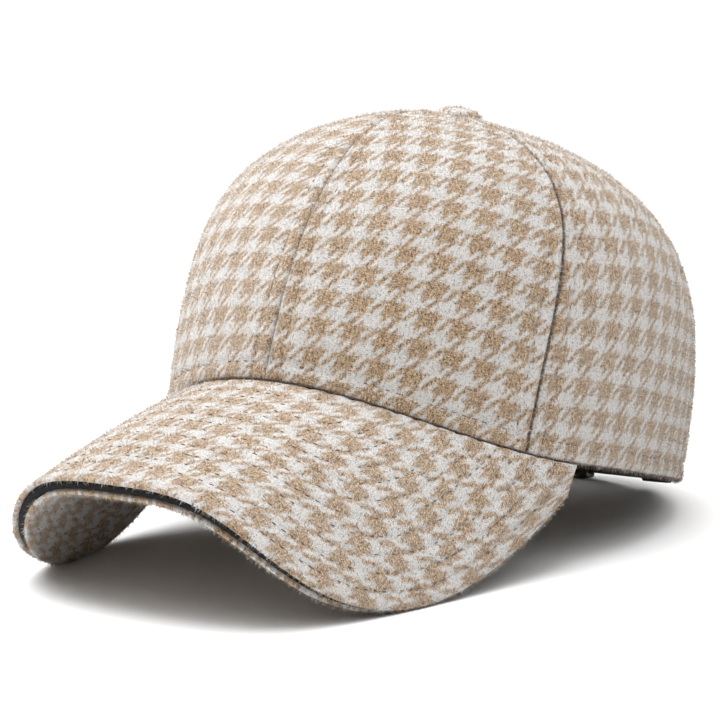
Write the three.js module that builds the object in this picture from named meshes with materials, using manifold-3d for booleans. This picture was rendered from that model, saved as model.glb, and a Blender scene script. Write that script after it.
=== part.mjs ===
// Six-panel cap with a bent peak, a bound peak edge, a sweatband and a strap across the back arch.
// Units are millimetres and +Z is up. The wearer faces -Y, with the wearer's left at +X.
// The cap rests as it would by itself: on the two lobes of the peak and on the slide at the back.
// The origin is under the middle of the whole cap, on the surface it rests on.

import * as THREE from 'three';
import { mergeVertices } from 'three/addons/utils/BufferGeometryUtils.js';
import Module from 'manifold-3d';

// Crown, in the cap's own frame: rim at height 0, apex over the middle of the head
const CROWN_FRONT = 96.2;
const CROWN_BACK = 119.2;
const CROWN_HALF_WIDTH = 81.4;
const CROWN_HEIGHT = 113.7;
const APEX_SET_BACK = 2.4;
const RIM_LIFT_FRONT = 14.0;
const RIM_LIFT_SPREAD = 73;
const CROWN_WALL = 2.0;
const SEAM_ANGLES = [0, 60, 120, 180, 240, 300];
const TOP_HOLE = 3.0;

// How each side of the crown closes towards the apex, as shares of its half length:
// reach(h) = (1 - h^shoulder)^(1 / roundness) * (1 - taper * h)
const PROFILE = {
  front: { shoulder: 2.29, roundness: 2.85, taper: 0.098 },
  side: { shoulder: 4.78, roundness: 1.6, taper: -0.091 },
  back: { shoulder: 1.93, roundness: 1.6, taper: -0.119 },
};

// Peak, measured from the front of the rim
const PEAK_REACH = 70.0;
const PEAK_HALF_WIDTH = 70.0;
const PEAK_CORNER_ANGLE = 74;
const PEAK_CORNER_CUT = 0.98;
const PEAK_SIDE_SQUARENESS = 3.59;
const PEAK_FRONT_SQUARENESS = 2.11;
const PEAK_CORNER_FLARE = 8;
const PEAK_SLOPE = 0.427;
const PEAK_DIP = 6.7;
const PEAK_BEND = 75.0;
const PEAK_BEND_POWER = 3.61;
const PEAK_BEND_GROWTH = 0.54;
const PEAK_CLOTH = 2.9;
const PEAK_TUCK = 2.0;
const EDGE_ROUND = 0.9;

// Plain woven tape held between the two cloths along the peak's edge
const TAPE_THICK = 2.6;
const TAPE_DEPTH = 11.0;
const TAPE_RECESS = 0.7;

// Sweatband, strap and slide
const BAND_HEIGHT = 30.0;
const BAND_THICK = 1.6;
const BAND_BELOW_RIM = 1.3;
const ARCH_WIDTH = 70.0;
const ARCH_HEIGHT = 45.0;
const STRAP_HEIGHT = 20.0;
const STRAP_THICK = 2.0;
const STRAP_BELOW_RIM = 0.6;
const STRAP_TUCK = 13.0;
const SLIDE_WIDTH = 13.0;
const SLIDE_WALL = 1.5;

// Covered button on the apex
const BUTTON_RADIUS = 8.4;
const BUTTON_HEIGHT = 4.2;
const BUTTON_RIM = 1.3;

// Clearances
const GAP = 0.3;
const BAND_GAP = 0.5;
const REST_FLAT = 0.5;

// Mesh fineness
const PANEL_COLUMNS = 8;
const PANEL_ROWS = 13;
const PEAK_STATIONS = 46;
const CORNER_BUNCHING = 0.5;
const PEAK_ROWS = 8;
const BAND_ROWS = 3;
const BUTTON_SIDES = 28;
const MERIDIAN_STEPS = 240;

const rad = THREE.MathUtils.degToRad;
const wasm = await Module();
wasm.setup();

// A point of the crown's outer surface: angle from the front, height from 0 at the rim to 1 at the apex
function rimHeight(angle) {
  const turn = Math.abs(THREE.MathUtils.euclideanModulo(angle + 180, 360) - 180);
  const share = Math.min(turn / RIM_LIFT_SPREAD, 1);
  return RIM_LIFT_FRONT * (0.5 + 0.5 * Math.cos(Math.PI * share));
}

function closing(profile, h) {
  const share = Math.max(1 - h ** profile.shoulder, 0);
  return share ** (1 / profile.roundness) * (1 - profile.taper * h);
}

function crownPoint(angle, h) {
  const cos = Math.cos(rad(angle));
  const ahead = CROWN_FRONT * closing(PROFILE.front, h);
  const behind = CROWN_BACK * closing(PROFILE.back, h);
  const across = CROWN_HALF_WIDTH * closing(PROFILE.side, h);
  const low = rimHeight(angle);
  return new THREE.Vector3(
    across * Math.sin(rad(angle)),
    APEX_SET_BACK - (cos > 0 ? ahead : behind) * cos,
    low + (CROWN_HEIGHT - low) * h,
  );
}

// The crown's outline at one angle, as a curve measured by its length from the rim
function meridian(angle) {
  const points = [];
  const lengths = [0];
  for (let i = 0; i <= MERIDIAN_STEPS; i += 1) {
    points.push(crownPoint(angle, 1 - (1 - i / MERIDIAN_STEPS) ** 3));
    if (i > 0) lengths.push(lengths[i - 1] + points[i].distanceTo(points[i - 1]));
  }
  return { points, lengths, total: lengths[MERIDIAN_STEPS] };
}

const meridians = new Map();

function meridianAt(angle) {
  const key = angle.toFixed(4);
  if (!meridians.has(key)) meridians.set(key, meridian(angle));
  return meridians.get(key);
}

function along(line, distance) {
  let i = 1;
  while (i < line.lengths.length - 1 && line.lengths[i] < distance) i += 1;
  const share = (distance - line.lengths[i - 1]) / (line.lengths[i] - line.lengths[i - 1]);
  return line.points[i - 1].clone().lerp(line.points[i], share);
}

// A point of the crown's wall: distance up from the rim, depth out of the surface, shift along the rim
function wallPoint(angle, distance, depth, shift = 0) {
  const turn = 0.25;
  const line = meridianAt(angle);
  const share = distance / line.total;
  const point = along(line, distance);
  const ahead = meridianAt(angle + turn);
  const behind = meridianAt(angle - turn);
  const sideways = along(ahead, share * ahead.total).sub(along(behind, share * behind.total)).normalize();
  const upwards = along(line, distance + turn).sub(along(line, distance - turn)).normalize();
  const outwards = sideways.clone().cross(upwards).normalize();
  return point.addScaledVector(outwards, depth).addScaledVector(sideways, shift);
}

// The peak's middle surface: side from -1 to 1 along it, share from 0 at the rim to 1 at the edge
function peakHeight(x, y) {
  const rim = crownPoint(0, 0);
  const ahead = rim.y - y;
  const bend = PEAK_BEND * (Math.abs(x) / PEAK_HALF_WIDTH) ** PEAK_BEND_POWER;
  const share = ahead / PEAK_REACH;
  const fall = PEAK_SLOPE * ahead + PEAK_DIP * share * Math.abs(share);
  return rim.z - PEAK_CLOTH - GAP - bend * (1 + PEAK_BEND_GROWTH * share) - fall;
}

function peakEdge(side) {
  const corner = crownPoint(PEAK_CORNER_ANGLE, 0);
  const length = corner.y - crownPoint(0, 0).y + PEAK_REACH;
  const across = Math.sin(rad(90 * side));
  const flare = (corner.x - PEAK_HALF_WIDTH) * Math.sign(side) * Math.abs(side) ** PEAK_CORNER_FLARE;
  const x = PEAK_HALF_WIDTH * across + flare;
  const forward = (1 - Math.abs(across) ** PEAK_SIDE_SQUARENESS) ** (1 / PEAK_FRONT_SQUARENESS);
  const y = corner.y - length * forward;
  return new THREE.Vector3(x, y, peakHeight(x, y));
}

function peakMiddle(side, share, drop = peakDrop(side)) {
  const angle = side * PEAK_CORNER_ANGLE;
  const rim = crownPoint(angle, 0);
  const inner = rim.clone();
  inner.x -= PEAK_TUCK * Math.sin(rad(angle));
  inner.y += PEAK_TUCK * Math.cos(rad(angle));
  const point = inner.clone().lerp(peakEdge(side), share);
  const lift = rim.z - drop - peakHeight(inner.x, inner.y);
  point.z = peakHeight(point.x, point.y) + (1 - share) * lift;
  return point;
}

function peakNormal(side, share, drop) {
  const step = 0.004;
  const sideways = peakMiddle(side + step, share, drop).sub(peakMiddle(side - step, share, drop));
  const forwards = peakMiddle(side, share + step, drop).sub(peakMiddle(side, share - step, drop));
  return forwards.cross(sideways).normalize();
}

// How far the middle surface starts below the rim, so that the upper cloth starts just under it
function peakDrop(side) {
  return GAP + (PEAK_CLOTH + GAP / 2) * peakNormal(side, 0, 0).z;
}

function peakPoint(side, share, depth) {
  return peakMiddle(side, share).addScaledVector(peakNormal(side, share), depth);
}

function peakWidth(side) {
  return peakMiddle(side, 0).distanceTo(peakMiddle(side, 1));
}

// A closed solid swept through sections of [along, across] pairs, which place() puts in space
function sweep(stations, sectionAt, place, ring = false) {
  const positions = [];
  const faces = [];
  const sections = stations.map(sectionAt);
  const size = sections[0].length;
  sections.forEach((section, i) => {
    section.forEach(([a, b]) => positions.push(...place(stations[i], a, b, i).toArray()));
  });
  const spans = ring ? stations.length : stations.length - 1;
  for (let i = 0; i < spans; i += 1) {
    const here = i * size;
    const there = ((i + 1) % stations.length) * size;
    for (let j = 0; j < size; j += 1) {
      const k = (j + 1) % size;
      faces.push([here + j, there + j, there + k], [here + j, there + k, here + k]);
    }
  }
  if (!ring) {
    const last = (stations.length - 1) * size;
    faces.push(...capFaces(positions, 0, size));
    faces.push(...capFaces(positions, last, size).map(([a, b, c]) => [a, c, b]));
  }
  return outwardGeometry(positions, faces);
}

// The end of a swept solid, filled in the plane that its outline lies nearest to
function capFaces(positions, start, size) {
  const outline = Array.from({ length: size }, (_, j) => new THREE.Vector3().fromArray(positions, 3 * (start + j)));
  const normal = new THREE.Vector3();
  outline.forEach((point, j) => normal.add(point.clone().cross(outline[(j + 1) % size])));
  const first = outline[size - 1].clone().sub(outline[0]).normalize();
  const second = normal.normalize().clone().cross(first);
  const flat = outline.map((point) => new THREE.Vector2(point.dot(first), point.dot(second)));
  const turned = (a, b, c) => flat[b].clone().sub(flat[a]).cross(flat[c].clone().sub(flat[a])) < 0;
  const triangles = THREE.ShapeUtils.triangulateShape(flat, []);
  return triangles.map(([a, b, c]) => (turned(a, b, c) ? [a, c, b] : [a, b, c]).map((j) => start + j));
}

function outwardGeometry(positions, faces) {
  const corner = (i) => new THREE.Vector3().fromArray(positions, 3 * i);
  const volume = faces.reduce((sum, [a, b, c]) => sum + corner(a).dot(corner(b).cross(corner(c))), 0);
  const geometry = new THREE.BufferGeometry();
  geometry.setAttribute('position', new THREE.Float32BufferAttribute(positions, 3));
  geometry.setIndex(faces.flatMap(([a, b, c]) => (volume > 0 ? [a, b, c] : [a, c, b])));
  return geometry;
}

// Cutting and joining
function toSolid(geometry) {
  const plain = geometry.clone();
  Object.keys(plain.attributes).filter((name) => name !== 'position').forEach((name) => plain.deleteAttribute(name));
  const merged = mergeVertices(plain, 1e-4);
  const vertProperties = new Float32Array(merged.attributes.position.array);
  const triVerts = new Uint32Array(merged.index.array);
  return new wasm.Manifold(new wasm.Mesh({ numProp: 3, vertProperties, triVerts }));
}

function toGeometry(solid) {
  const mesh = solid.getMesh();
  const geometry = new THREE.BufferGeometry();
  geometry.setAttribute('position', new THREE.Float32BufferAttribute(Float32Array.from(mesh.vertProperties), 3));
  geometry.setIndex(Array.from(mesh.triVerts));
  return geometry;
}

function largestPiece(solid) {
  return solid.decompose().reduce((best, piece) => (piece.volume() > best.volume() ? piece : best));
}

function cutBy(geometry, cutters) {
  const solid = cutters.reduce((rest, cutter) => rest.subtract(toSolid(cutter)), toSolid(geometry));
  return toGeometry(largestPiece(solid));
}

function spread(from, to, count) {
  return Array.from({ length: count + 1 }, (_, i) => from + ((to - from) * i) / count);
}

// Crown panels, each a wall between two seams
function panelGeometry(from, to) {
  const stations = spread(from, to, PANEL_COLUMNS);
  const section = (angle) => {
    const top = meridianAt(angle).total - TOP_HOLE;
    const rows = spread(0, top, PANEL_ROWS);
    return [...rows.map((d) => [d, 0]), ...rows.reverse().map((d) => [d, -CROWN_WALL])];
  };
  const place = (angle, distance, depth, i) => {
    const atSeam = (i === 0 ? 1 : 0) - (i === stations.length - 1 ? 1 : 0);
    return wallPoint(angle, distance, depth, (atSeam * GAP) / 2);
  };
  return sweep(stations, section, place);
}

// The opening over the strap, as a solid that cuts through the back of the crown
function archCutter() {
  const half = ARCH_WIDTH / 2;
  const springing = ARCH_HEIGHT - half;
  const shape = new THREE.Shape();
  shape.moveTo(-half, -2 * BAND_HEIGHT);
  shape.lineTo(half, -2 * BAND_HEIGHT);
  shape.lineTo(half, springing);
  shape.absarc(0, springing, half, 0, Math.PI, false);
  shape.closePath();
  const cutter = new THREE.ExtrudeGeometry(shape, { depth: CROWN_BACK, bevelEnabled: false, curveSegments: 14 });
  cutter.rotateX(Math.PI / 2);
  cutter.translate(0, 1.6 * CROWN_BACK, 0);
  return cutter;
}

// Rings that follow the wall, with a section between two distances and two depths
function wallSection(low, high, inner, outer) {
  const rows = spread(low, high, BAND_ROWS);
  return [...rows.map((d) => [d, inner]), ...rows.reverse().map((d) => [d, outer])];
}

function wallRing(low, high, inner, outer) {
  const angles = spread(0, 360, 6 * PANEL_COLUMNS).slice(0, -1);
  const section = () => wallSection(low, high, inner, outer);
  return sweep(angles, section, (angle, distance, depth) => wallPoint(angle, distance, depth), true);
}

const bandOuter = -CROWN_WALL - BAND_GAP;
const bandInner = bandOuter - BAND_THICK;

function sweatbandGeometry(arch) {
  return cutBy(wallRing(-BAND_BELOW_RIM, BAND_HEIGHT - BAND_BELOW_RIM, bandInner, bandOuter), [arch]);
}

// The strap lies inside the band and is held behind both sides of the arch
const strapOuter = bandInner - BAND_GAP;
const strapInner = strapOuter - STRAP_THICK;
const strapLow = -STRAP_BELOW_RIM;
const strapHigh = strapLow + STRAP_HEIGHT;
const backSeam = SEAM_ANGLES[3];

function strapGeometry() {
  const reach = Math.asin((ARCH_WIDTH / 2 + STRAP_TUCK) / CROWN_HALF_WIDTH) * THREE.MathUtils.RAD2DEG;
  const section = () => wallSection(strapLow, strapHigh, strapInner, strapOuter);
  return sweep(spread(backSeam - reach, backSeam + reach, 16), section, (angle, a, b) => wallPoint(angle, a, b));
}

// A plain metal loop round the middle of the strap, leaning as the strap does
function slideGeometry() {
  const low = wallPoint(backSeam, strapLow, strapOuter);
  const high = wallPoint(backSeam, strapHigh, strapOuter);
  const up = high.clone().sub(low).normalize();
  const out = new THREE.Vector3(1, 0, 0).cross(up).negate();
  const half = (SLIDE_WIDTH / 2 / CROWN_HALF_WIDTH) * THREE.MathUtils.RAD2DEG;
  const slot = new THREE.Box2();
  for (const angle of [backSeam - half, backSeam, backSeam + half]) {
    for (const [distance, depth] of wallSection(strapLow, strapHigh, strapInner, strapOuter)) {
      const point = wallPoint(angle, distance, depth);
      slot.expandByPoint(new THREE.Vector2(point.dot(out), point.dot(up)));
    }
  }
  slot.expandByScalar(GAP);
  const frame = slot.clone().expandByScalar(SLIDE_WALL);
  const outline = ({ min, max }) => [[min.x, min.y], [max.x, min.y], [max.x, max.y], [min.x, max.y]]
    .map(([x, y]) => new THREE.Vector2(x, y));
  const shape = new THREE.Shape(outline(frame));
  shape.holes.push(new THREE.Path(outline(slot)));
  const geometry = new THREE.ExtrudeGeometry(shape, { depth: SLIDE_WIDTH, bevelEnabled: false });
  geometry.translate(0, 0, -SLIDE_WIDTH / 2);
  return geometry.applyMatrix4(new THREE.Matrix4().makeBasis(out, up, out.clone().cross(up)));
}

// Stations along the peak, closer together towards its corners
function peakStations() {
  const bunched = (t) => (1 - CORNER_BUNCHING) * t + CORNER_BUNCHING * Math.sin((Math.PI / 2) * t);
  return spread(-1, 1, PEAK_STATIONS).map((t) => PEAK_CORNER_CUT * bunched(t));
}

// The peak's cloths: a layer above or below the middle surface, stepped back round the tape
function peakClothGeometry(above) {
  const side = above ? 1 : -1;
  const outer = GAP / 2 + PEAK_CLOTH;
  const step = TAPE_THICK / 2 + GAP;
  const section = (station) => {
    const width = peakWidth(station);
    const round = EDGE_ROUND / width;
    const stepBack = Math.max(1 - (TAPE_DEPTH + GAP) / width, 0.4);
    const rows = spread(0, 1 - 1.6 * round, PEAK_ROWS);
    const under = spread(stepBack, 0, PEAK_ROWS - 2);
    return [
      ...rows.map((share) => [share, outer]),
      [1 - 0.5 * round, outer - 0.3 * EDGE_ROUND],
      [1, outer - EDGE_ROUND],
      [1 - 0.2 * round, step],
      [stepBack, step],
      ...under.map((share) => [share, GAP / 2]),
    ];
  };
  return sweep(peakStations(), section, (station, share, depth) => peakPoint(station, share, side * depth));
}

function tapeGeometry() {
  const half = TAPE_THICK / 2;
  const section = (station) => {
    const width = peakWidth(station);
    const inner = Math.max(1 - TAPE_DEPTH / width, 0.4 + GAP / width);
    const outer = 1 - TAPE_RECESS / width;
    return [[inner, -half], [outer, -half], [outer, half], [inner, half]];
  };
  return sweep(peakStations(), section, (station, share, depth) => peakPoint(station, share, depth));
}

// Space kept free of the peak: the crown's wall and the sweatband, each with its clearance
function peakKeepOut() {
  const wall = wallRing(-GAP, BAND_HEIGHT, -CROWN_WALL - BAND_GAP, GAP);
  const band = wallRing(-BAND_BELOW_RIM - GAP, BAND_HEIGHT, bandInner - 4 * PEAK_CLOTH, -CROWN_WALL);
  return [wall, band];
}

// Covered button, with a post in the hole where the panels meet
function buttonGeometry() {
  const base = CROWN_HEIGHT + GAP;
  const post = TOP_HOLE - 2 * GAP;
  const profile = [
    new THREE.Vector2(0, CROWN_HEIGHT - CROWN_WALL),
    new THREE.Vector2(post, CROWN_HEIGHT - CROWN_WALL),
    new THREE.Vector2(post, base),
    new THREE.Vector2(BUTTON_RADIUS - 0.3 * BUTTON_RIM, base),
    new THREE.Vector2(BUTTON_RADIUS, base + BUTTON_RIM / 2),
  ];
  for (const turn of [20, 40, 60, 75]) {
    const radius = BUTTON_RADIUS * Math.cos(rad(turn));
    profile.push(new THREE.Vector2(radius, base + BUTTON_RIM / 2 + (BUTTON_HEIGHT - BUTTON_RIM / 2) * Math.sin(rad(turn))));
  }
  profile.push(new THREE.Vector2(0, base + BUTTON_HEIGHT));
  const geometry = new THREE.LatheGeometry(profile, BUTTON_SIDES);
  geometry.rotateX(Math.PI / 2);
  geometry.translate(0, APEX_SET_BACK, 0);
  return geometry;
}

// Resting: the cap tips until its peak and its back touch the same surface
function lowest(geometries, pitch, ahead) {
  const sin = Math.sin(pitch);
  const cos = Math.cos(pitch);
  let low = Infinity;
  for (const geometry of geometries) {
    const position = geometry.attributes.position;
    for (let i = 0; i < position.count; i += 1) {
      if (position.getY(i) < 0 === ahead) low = Math.min(low, position.getZ(i) * cos - position.getY(i) * sin);
    }
  }
  return low;
}

function restingPitch(geometries) {
  let less = 0;
  let more = rad(40);
  for (let i = 0; i < 40; i += 1) {
    const pitch = (less + more) / 2;
    if (lowest(geometries, pitch, true) < lowest(geometries, pitch, false)) less = pitch;
    else more = pitch;
  }
  return (less + more) / 2;
}

function floorCutter(size) {
  const cutter = new THREE.BoxGeometry(size, size, size);
  cutter.translate(0, 0, -size / 2);
  return cutter;
}

// Materials
const cloth = { color: 0xcdb391, roughness: 0.95, metalness: 0 };
const black = { color: 0x17161a, roughness: 0.85, metalness: 0 };
const metal = { color: 0x8c7a58, roughness: 0.35, metalness: 1 };

const panelNames = [
  'crown_front_left', 'crown_side_left', 'crown_back_left',
  'crown_back_right', 'crown_side_right', 'crown_front_right',
];
const arch = archCutter();
const keepOut = peakKeepOut();
const pieces = panelNames.map((name, i) => {
  const geometry = panelGeometry(SEAM_ANGLES[i], SEAM_ANGLES[i + 1] ?? 360);
  return { name, look: cloth, geometry: name.includes('back') ? cutBy(geometry, [arch]) : geometry };
});
pieces.push({ name: 'crown_button', look: cloth, geometry: buttonGeometry() });
pieces.push({ name: 'peak_top', look: cloth, geometry: cutBy(peakClothGeometry(true), keepOut) });
pieces.push({ name: 'peak_under', look: cloth, geometry: cutBy(peakClothGeometry(false), keepOut) });
pieces.push({ name: 'peak_tape', look: black, geometry: cutBy(tapeGeometry(), keepOut) });
pieces.push({ name: 'sweatband', look: black, geometry: sweatbandGeometry(arch) });
pieces.push({ name: 'back_strap', look: black, geometry: strapGeometry() });
pieces.push({ name: 'strap_slide', look: metal, geometry: slideGeometry() });

const shapes = pieces.map((piece) => piece.geometry);
const pitch = restingPitch(shapes);
const lift = REST_FLAT + lowest(shapes, pitch, true);
const floor = floorCutter(8 * CROWN_BACK);
const bounds = new THREE.Box3();
for (const piece of pieces) {
  piece.geometry.rotateX(-pitch);
  piece.geometry.translate(0, 0, -lift);
  piece.geometry.computeBoundingBox();
  if (piece.geometry.boundingBox.min.z < 0) piece.geometry = cutBy(piece.geometry, [floor]);
  piece.geometry.computeBoundingBox();
  bounds.union(piece.geometry.boundingBox);
}

const cap = new THREE.Group();
const centre = bounds.getCenter(new THREE.Vector3());
cap.position.set(-centre.x, -centre.y, -bounds.min.z);
for (const { name, look, geometry } of pieces) {
  const mesh = new THREE.Mesh(geometry, new THREE.MeshStandardMaterial(look));
  mesh.name = name;
  cap.add(mesh);
}

export default cap;
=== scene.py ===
import math

import bmesh
import bpy
import numpy as np
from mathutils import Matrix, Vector


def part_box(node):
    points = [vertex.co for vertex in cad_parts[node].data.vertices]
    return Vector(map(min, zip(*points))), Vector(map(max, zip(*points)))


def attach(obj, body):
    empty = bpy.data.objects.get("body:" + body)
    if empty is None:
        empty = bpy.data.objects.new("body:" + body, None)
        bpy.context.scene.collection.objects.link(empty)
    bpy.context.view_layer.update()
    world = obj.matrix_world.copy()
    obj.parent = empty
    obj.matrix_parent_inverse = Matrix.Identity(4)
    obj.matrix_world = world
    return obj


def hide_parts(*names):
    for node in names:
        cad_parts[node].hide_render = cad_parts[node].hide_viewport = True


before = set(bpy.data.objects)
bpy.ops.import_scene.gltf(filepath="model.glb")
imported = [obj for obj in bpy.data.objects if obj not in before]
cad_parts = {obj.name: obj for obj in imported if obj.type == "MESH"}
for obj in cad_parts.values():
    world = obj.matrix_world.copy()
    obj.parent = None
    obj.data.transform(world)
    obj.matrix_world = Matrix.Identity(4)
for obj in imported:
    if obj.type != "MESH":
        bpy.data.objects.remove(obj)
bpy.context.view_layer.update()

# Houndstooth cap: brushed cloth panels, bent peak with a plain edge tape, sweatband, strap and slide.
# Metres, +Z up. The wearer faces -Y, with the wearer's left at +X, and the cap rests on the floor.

bl_info = {
    "name": "Houndstooth cap",
    "version": (1, 0, 0),
    "blender": (4, 5, 0),
    "location": "3D View > Sidebar > Cap",
    "description": "Builds the cloth, stitching and trim of a houndstooth cap on its packed solids",
    "category": "Object",
}

# Crown, in the cap's own frame: rim at height 0, apex over the middle of the head
CROWN_FRONT = 0.0962
CROWN_BACK = 0.1192
CROWN_HALF_WIDTH = 0.0814
CROWN_HEIGHT = 0.1137
APEX_SET_BACK = 0.0024
RIM_LIFT_FRONT = 0.014
RIM_LIFT_SPREAD = 73
CROWN_WALL = 0.002
TOP_HOLE = 0.003
BACK_SEAM = 120
BACK_MIDDLE = 180
PROFILES = {
    "front": {"shoulder": 2.29, "roundness": 2.85, "taper": 0.098},
    "side": {"shoulder": 4.78, "roundness": 1.6, "taper": -0.091},
    "back": {"shoulder": 1.93, "roundness": 1.6, "taper": -0.119},
}

# Panels: their angles round the head, and where the check starts on each
PANELS = [
    {"name": "crown_front_left", "from": 0, "to": 60, "across": -0.00055, "up": 0.00048},
    {"name": "crown_side_left", "from": 60, "to": 120, "across": 0.00191, "up": 0.0063},
    {"name": "crown_back_left", "from": 120, "to": 180, "across": 0.001, "up": 0.004},
    {"name": "crown_back_right", "from": 180, "to": 240, "across": 0.005, "up": 0.004},
    {"name": "crown_side_right", "from": 240, "to": 300, "across": 0.004, "up": 0.001},
    {"name": "crown_front_right", "from": 300, "to": 360, "across": 0.00529, "up": -0.0014},
]

# Button
BUTTON_RADIUS = 0.0084
BUTTON_HEIGHT = 0.0042
BUTTON_EDGE = 0.0009
BUTTON_GATHERS = 11
BUTTON_PINCH = 0.022
BUTTON_HOLLOW = 0.4
BUTTON_PLACE = (0.004, 0.002, 0.0)

# Peak, measured from the front of the rim
PEAK_REACH = 0.070
PEAK_HALF_WIDTH = 0.070
PEAK_CORNER_ANGLE = 74
PEAK_CORNER_CUT = 0.98
PEAK_SIDE_SQUARENESS = 3.59
PEAK_FRONT_SQUARENESS = 2.11
PEAK_CORNER_FLARE = 8
PEAK_SLOPE = 0.427
PEAK_DIP = 0.0067
PEAK_BEND = 0.075
PEAK_BEND_POWER = 3.61
PEAK_BEND_GROWTH = 0.54
PEAK_CLOTH = 0.0029
PEAK_TUCK = 0.002
PEAK_CLOTHS = [
    {"name": "peak_top", "side": 1, "columns": 261, "rows": 85, "place": (0.001, 0.002, 0.0)},
    {"name": "peak_under", "side": -1, "columns": 201, "rows": 65, "place": (0.003, 0.001, 0.0)},
]
LEAST_POCKET = 0.4
TAPE_THICK = 0.0026
TAPE_DEPTH = 0.011
TAPE_RECESS = 0.0007
TAPE_EDGE = 0.0007
TAPE_MIDDLE_BACK = 0.0012

# Sweatband, arch and strap
BAND_HEIGHT = 0.030
BAND_THICK = 0.0016
BAND_BELOW_RIM = 0.0013
BAND_FOLD = 0.0007
BAND_BACK_FOLD = 0.0006
BAND_PADDING = 0.0003
BAND_PADDING_IN = 0.004
BAND_GROOVE = {"in": 0.0026, "width": 0.0007, "rise": 0.0003}
BAND_FROM_ARCH = 0.0004
ARCH_HALF_WIDTH = 0.035
ARCH_HEIGHT = 0.045
ARCH_ROUNDNESS = 2.4
STRAP_HEIGHT = 0.020
STRAP_THICK = 0.002
STRAP_BELOW_RIM = 0.0006
STRAP_TUCK = 0.013
STRAP_FOLD = 0.0006
STRAP_RIDGE = {"in": 0.0012, "width": 0.0006, "rise": 0.00006}
SLIDE_BEVEL = 0.0004
GAP = 0.0003
BAND_GAP = 0.0005

# Folds, puffs and dents of the cloth
SEAM_FOLD = 0.0017
HEM_FOLD = 0.0013
SEAM_GAP = 0.0001
FRONT_SEAM_OPEN = 0.6
SEAM_PUFF = {"in": 0.0027, "width": 0.0015, "rise": 0.00028}
HEM_PUFF = {"in": 0.0031, "width": 0.0016, "rise": 0.00016}
WAVE_SIZE = 0.0085
WAVE_HEIGHT = 0.00022
WAVE_FADE = 0.006
WAVE_TURN = 90
# Width of the painted shade along the seams and the rim's edge
CREASE_SHADE_WIDTH = 0.0008

# Rows of stitches: where they run, the dents that they pull, and how deep the thread lies
STITCH_PITCH = 0.0036
TOPSTITCH_OUT = 0.0053
RIM_ROW_UP = 0.0058
PEAK_ROW_STEP = 0.0055
PEAK_ROWS = 13
ROW_WIDTH = 0.0008
SEAM_DENT = {"depth": 0.00040, "pucker": 0.00018}
RIM_DENT = {"depth": 0.00038, "pucker": 0.00018}
PEAK_DENT = {"depth": 0.00034, "pucker": 0.00016}
PEAK_PUFF = {"in": PEAK_ROW_STEP / 2, "width": 0.0016, "rise": 0.0001}
SEAM_SINK = 0.00028
RIM_SINK = 0.00026
PEAK_SINK = 0.00012
STITCHED_FROM = 0.0015
STITCHED_TO = 0.012
STITCH_SEED = 17

# Nap: loose fibres, thicker on the ground near an edge of the cloth
EDGE_FUZZ = 2.5
EDGE_FUZZ_WIDTH = 0.0016
FIBRE_RADIUS = 0.065
LEAST_LEAN = 0.25
FLOOR_ROOM = 0.0005
NAP_SEED = 11

# Looks: how far the check's edges are brushed out, as scales and reaches, and ribs to a metre of weave
FEATHERS = ((1100.0, 0.0015), (1700.0, 0.0022), (2600.0, 0.0028))
CLOTH_LOOK = "brushed_houndstooth"
THREAD_LOOK = "stitch_thread"
METAL_LOOK = "satin_brass"
RIBBED_LOOKS = {
    "edge_tape_weave": {"ribs": 1300.0, "sheen": 0.02, "direction": (1.0, 0.35, 0.0)},
    "sweatband_weave": {"ribs": 900.0, "sheen": 0.02, "direction": (0.7, 0.7, 0.0)},
    "ribbed_webbing": {"ribs": 620.0, "sheen": 0.15, "direction": (1.0, 0.0, 0.0)},
}

# How the cap rests: it tips forwards about X, then moves up and back
REST_PITCH = math.radians(12.799)
REST_LIFT = 0.027759
REST_SHIFT = 0.02263
SHAPE_TOLERANCE = 0.0015

# The photograph's camera and the softboxes, round a point inside the crown, with angles in degrees
CAMERA_AZIMUTH = 33.73
CAMERA_HEIGHT = 8.22
CAMERA_DISTANCE = 0.931
CAMERA_TARGET = Vector((0.0, -0.0109, 0.0619))
CAMERA_LENS = 140.4
SENSOR = 36.0
SOFTBOX_SIZE = 1.0
SOFTBOXES = {"key": (-84, 50, 1.5), "top": (20, 80, 1.6)}
FLOOR_RADIUS = 1.3

# Fineness of the meshes
TABLE_ANGLES = 720
TABLE_ROWS = 400
MERIDIAN_STEPS = 240
PANEL_LENGTH = 0.145
PANEL_ROWS = 169
ARCH_COLUMNS = 44
COARSER = 4
COLUMN_STEP = 0.0013
SEAM_STEPS = np.array([0, 0.35, 0.7, 1.05, 1.45, 1.9, 2.6, 3.5, 4.3, 4.9, 5.3, 5.7, 6.3, 7.2, 8.4]) / 1000
HEM_STEPS = np.array([0, 0.3, 0.6, 0.9, 1.25, 1.8, 2.6]) / 1000
TAPE_STATIONS = 421

# Cloth laid flat: its grids, the parts of panel and peak that they reach, and the rounds of easing
FLAT_COLUMNS = 31
FLAT_ROWS = 41
FLAT_PEAK_COLUMNS = 61
FLAT_PEAK_ROWS = 17
FLAT_TOP = 0.985
FLAT_SIDE = 0.985
FLAT_ROUNDS = 900
PEAK_STRETCH = 1.15


def unit(vectors):
    return vectors / np.maximum(np.linalg.norm(vectors, axis=-1, keepdims=True), 1e-12)


def at_rest(points):
    """Tips the cap's own frame to how it lies on the floor."""
    x, y, z = points[..., 0], points[..., 1], points[..., 2]
    sin, cos = math.sin(REST_PITCH), math.cos(REST_PITCH)
    return np.stack([x, y * cos + z * sin + REST_SHIFT, z * cos - y * sin + REST_LIFT], -1)


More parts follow.
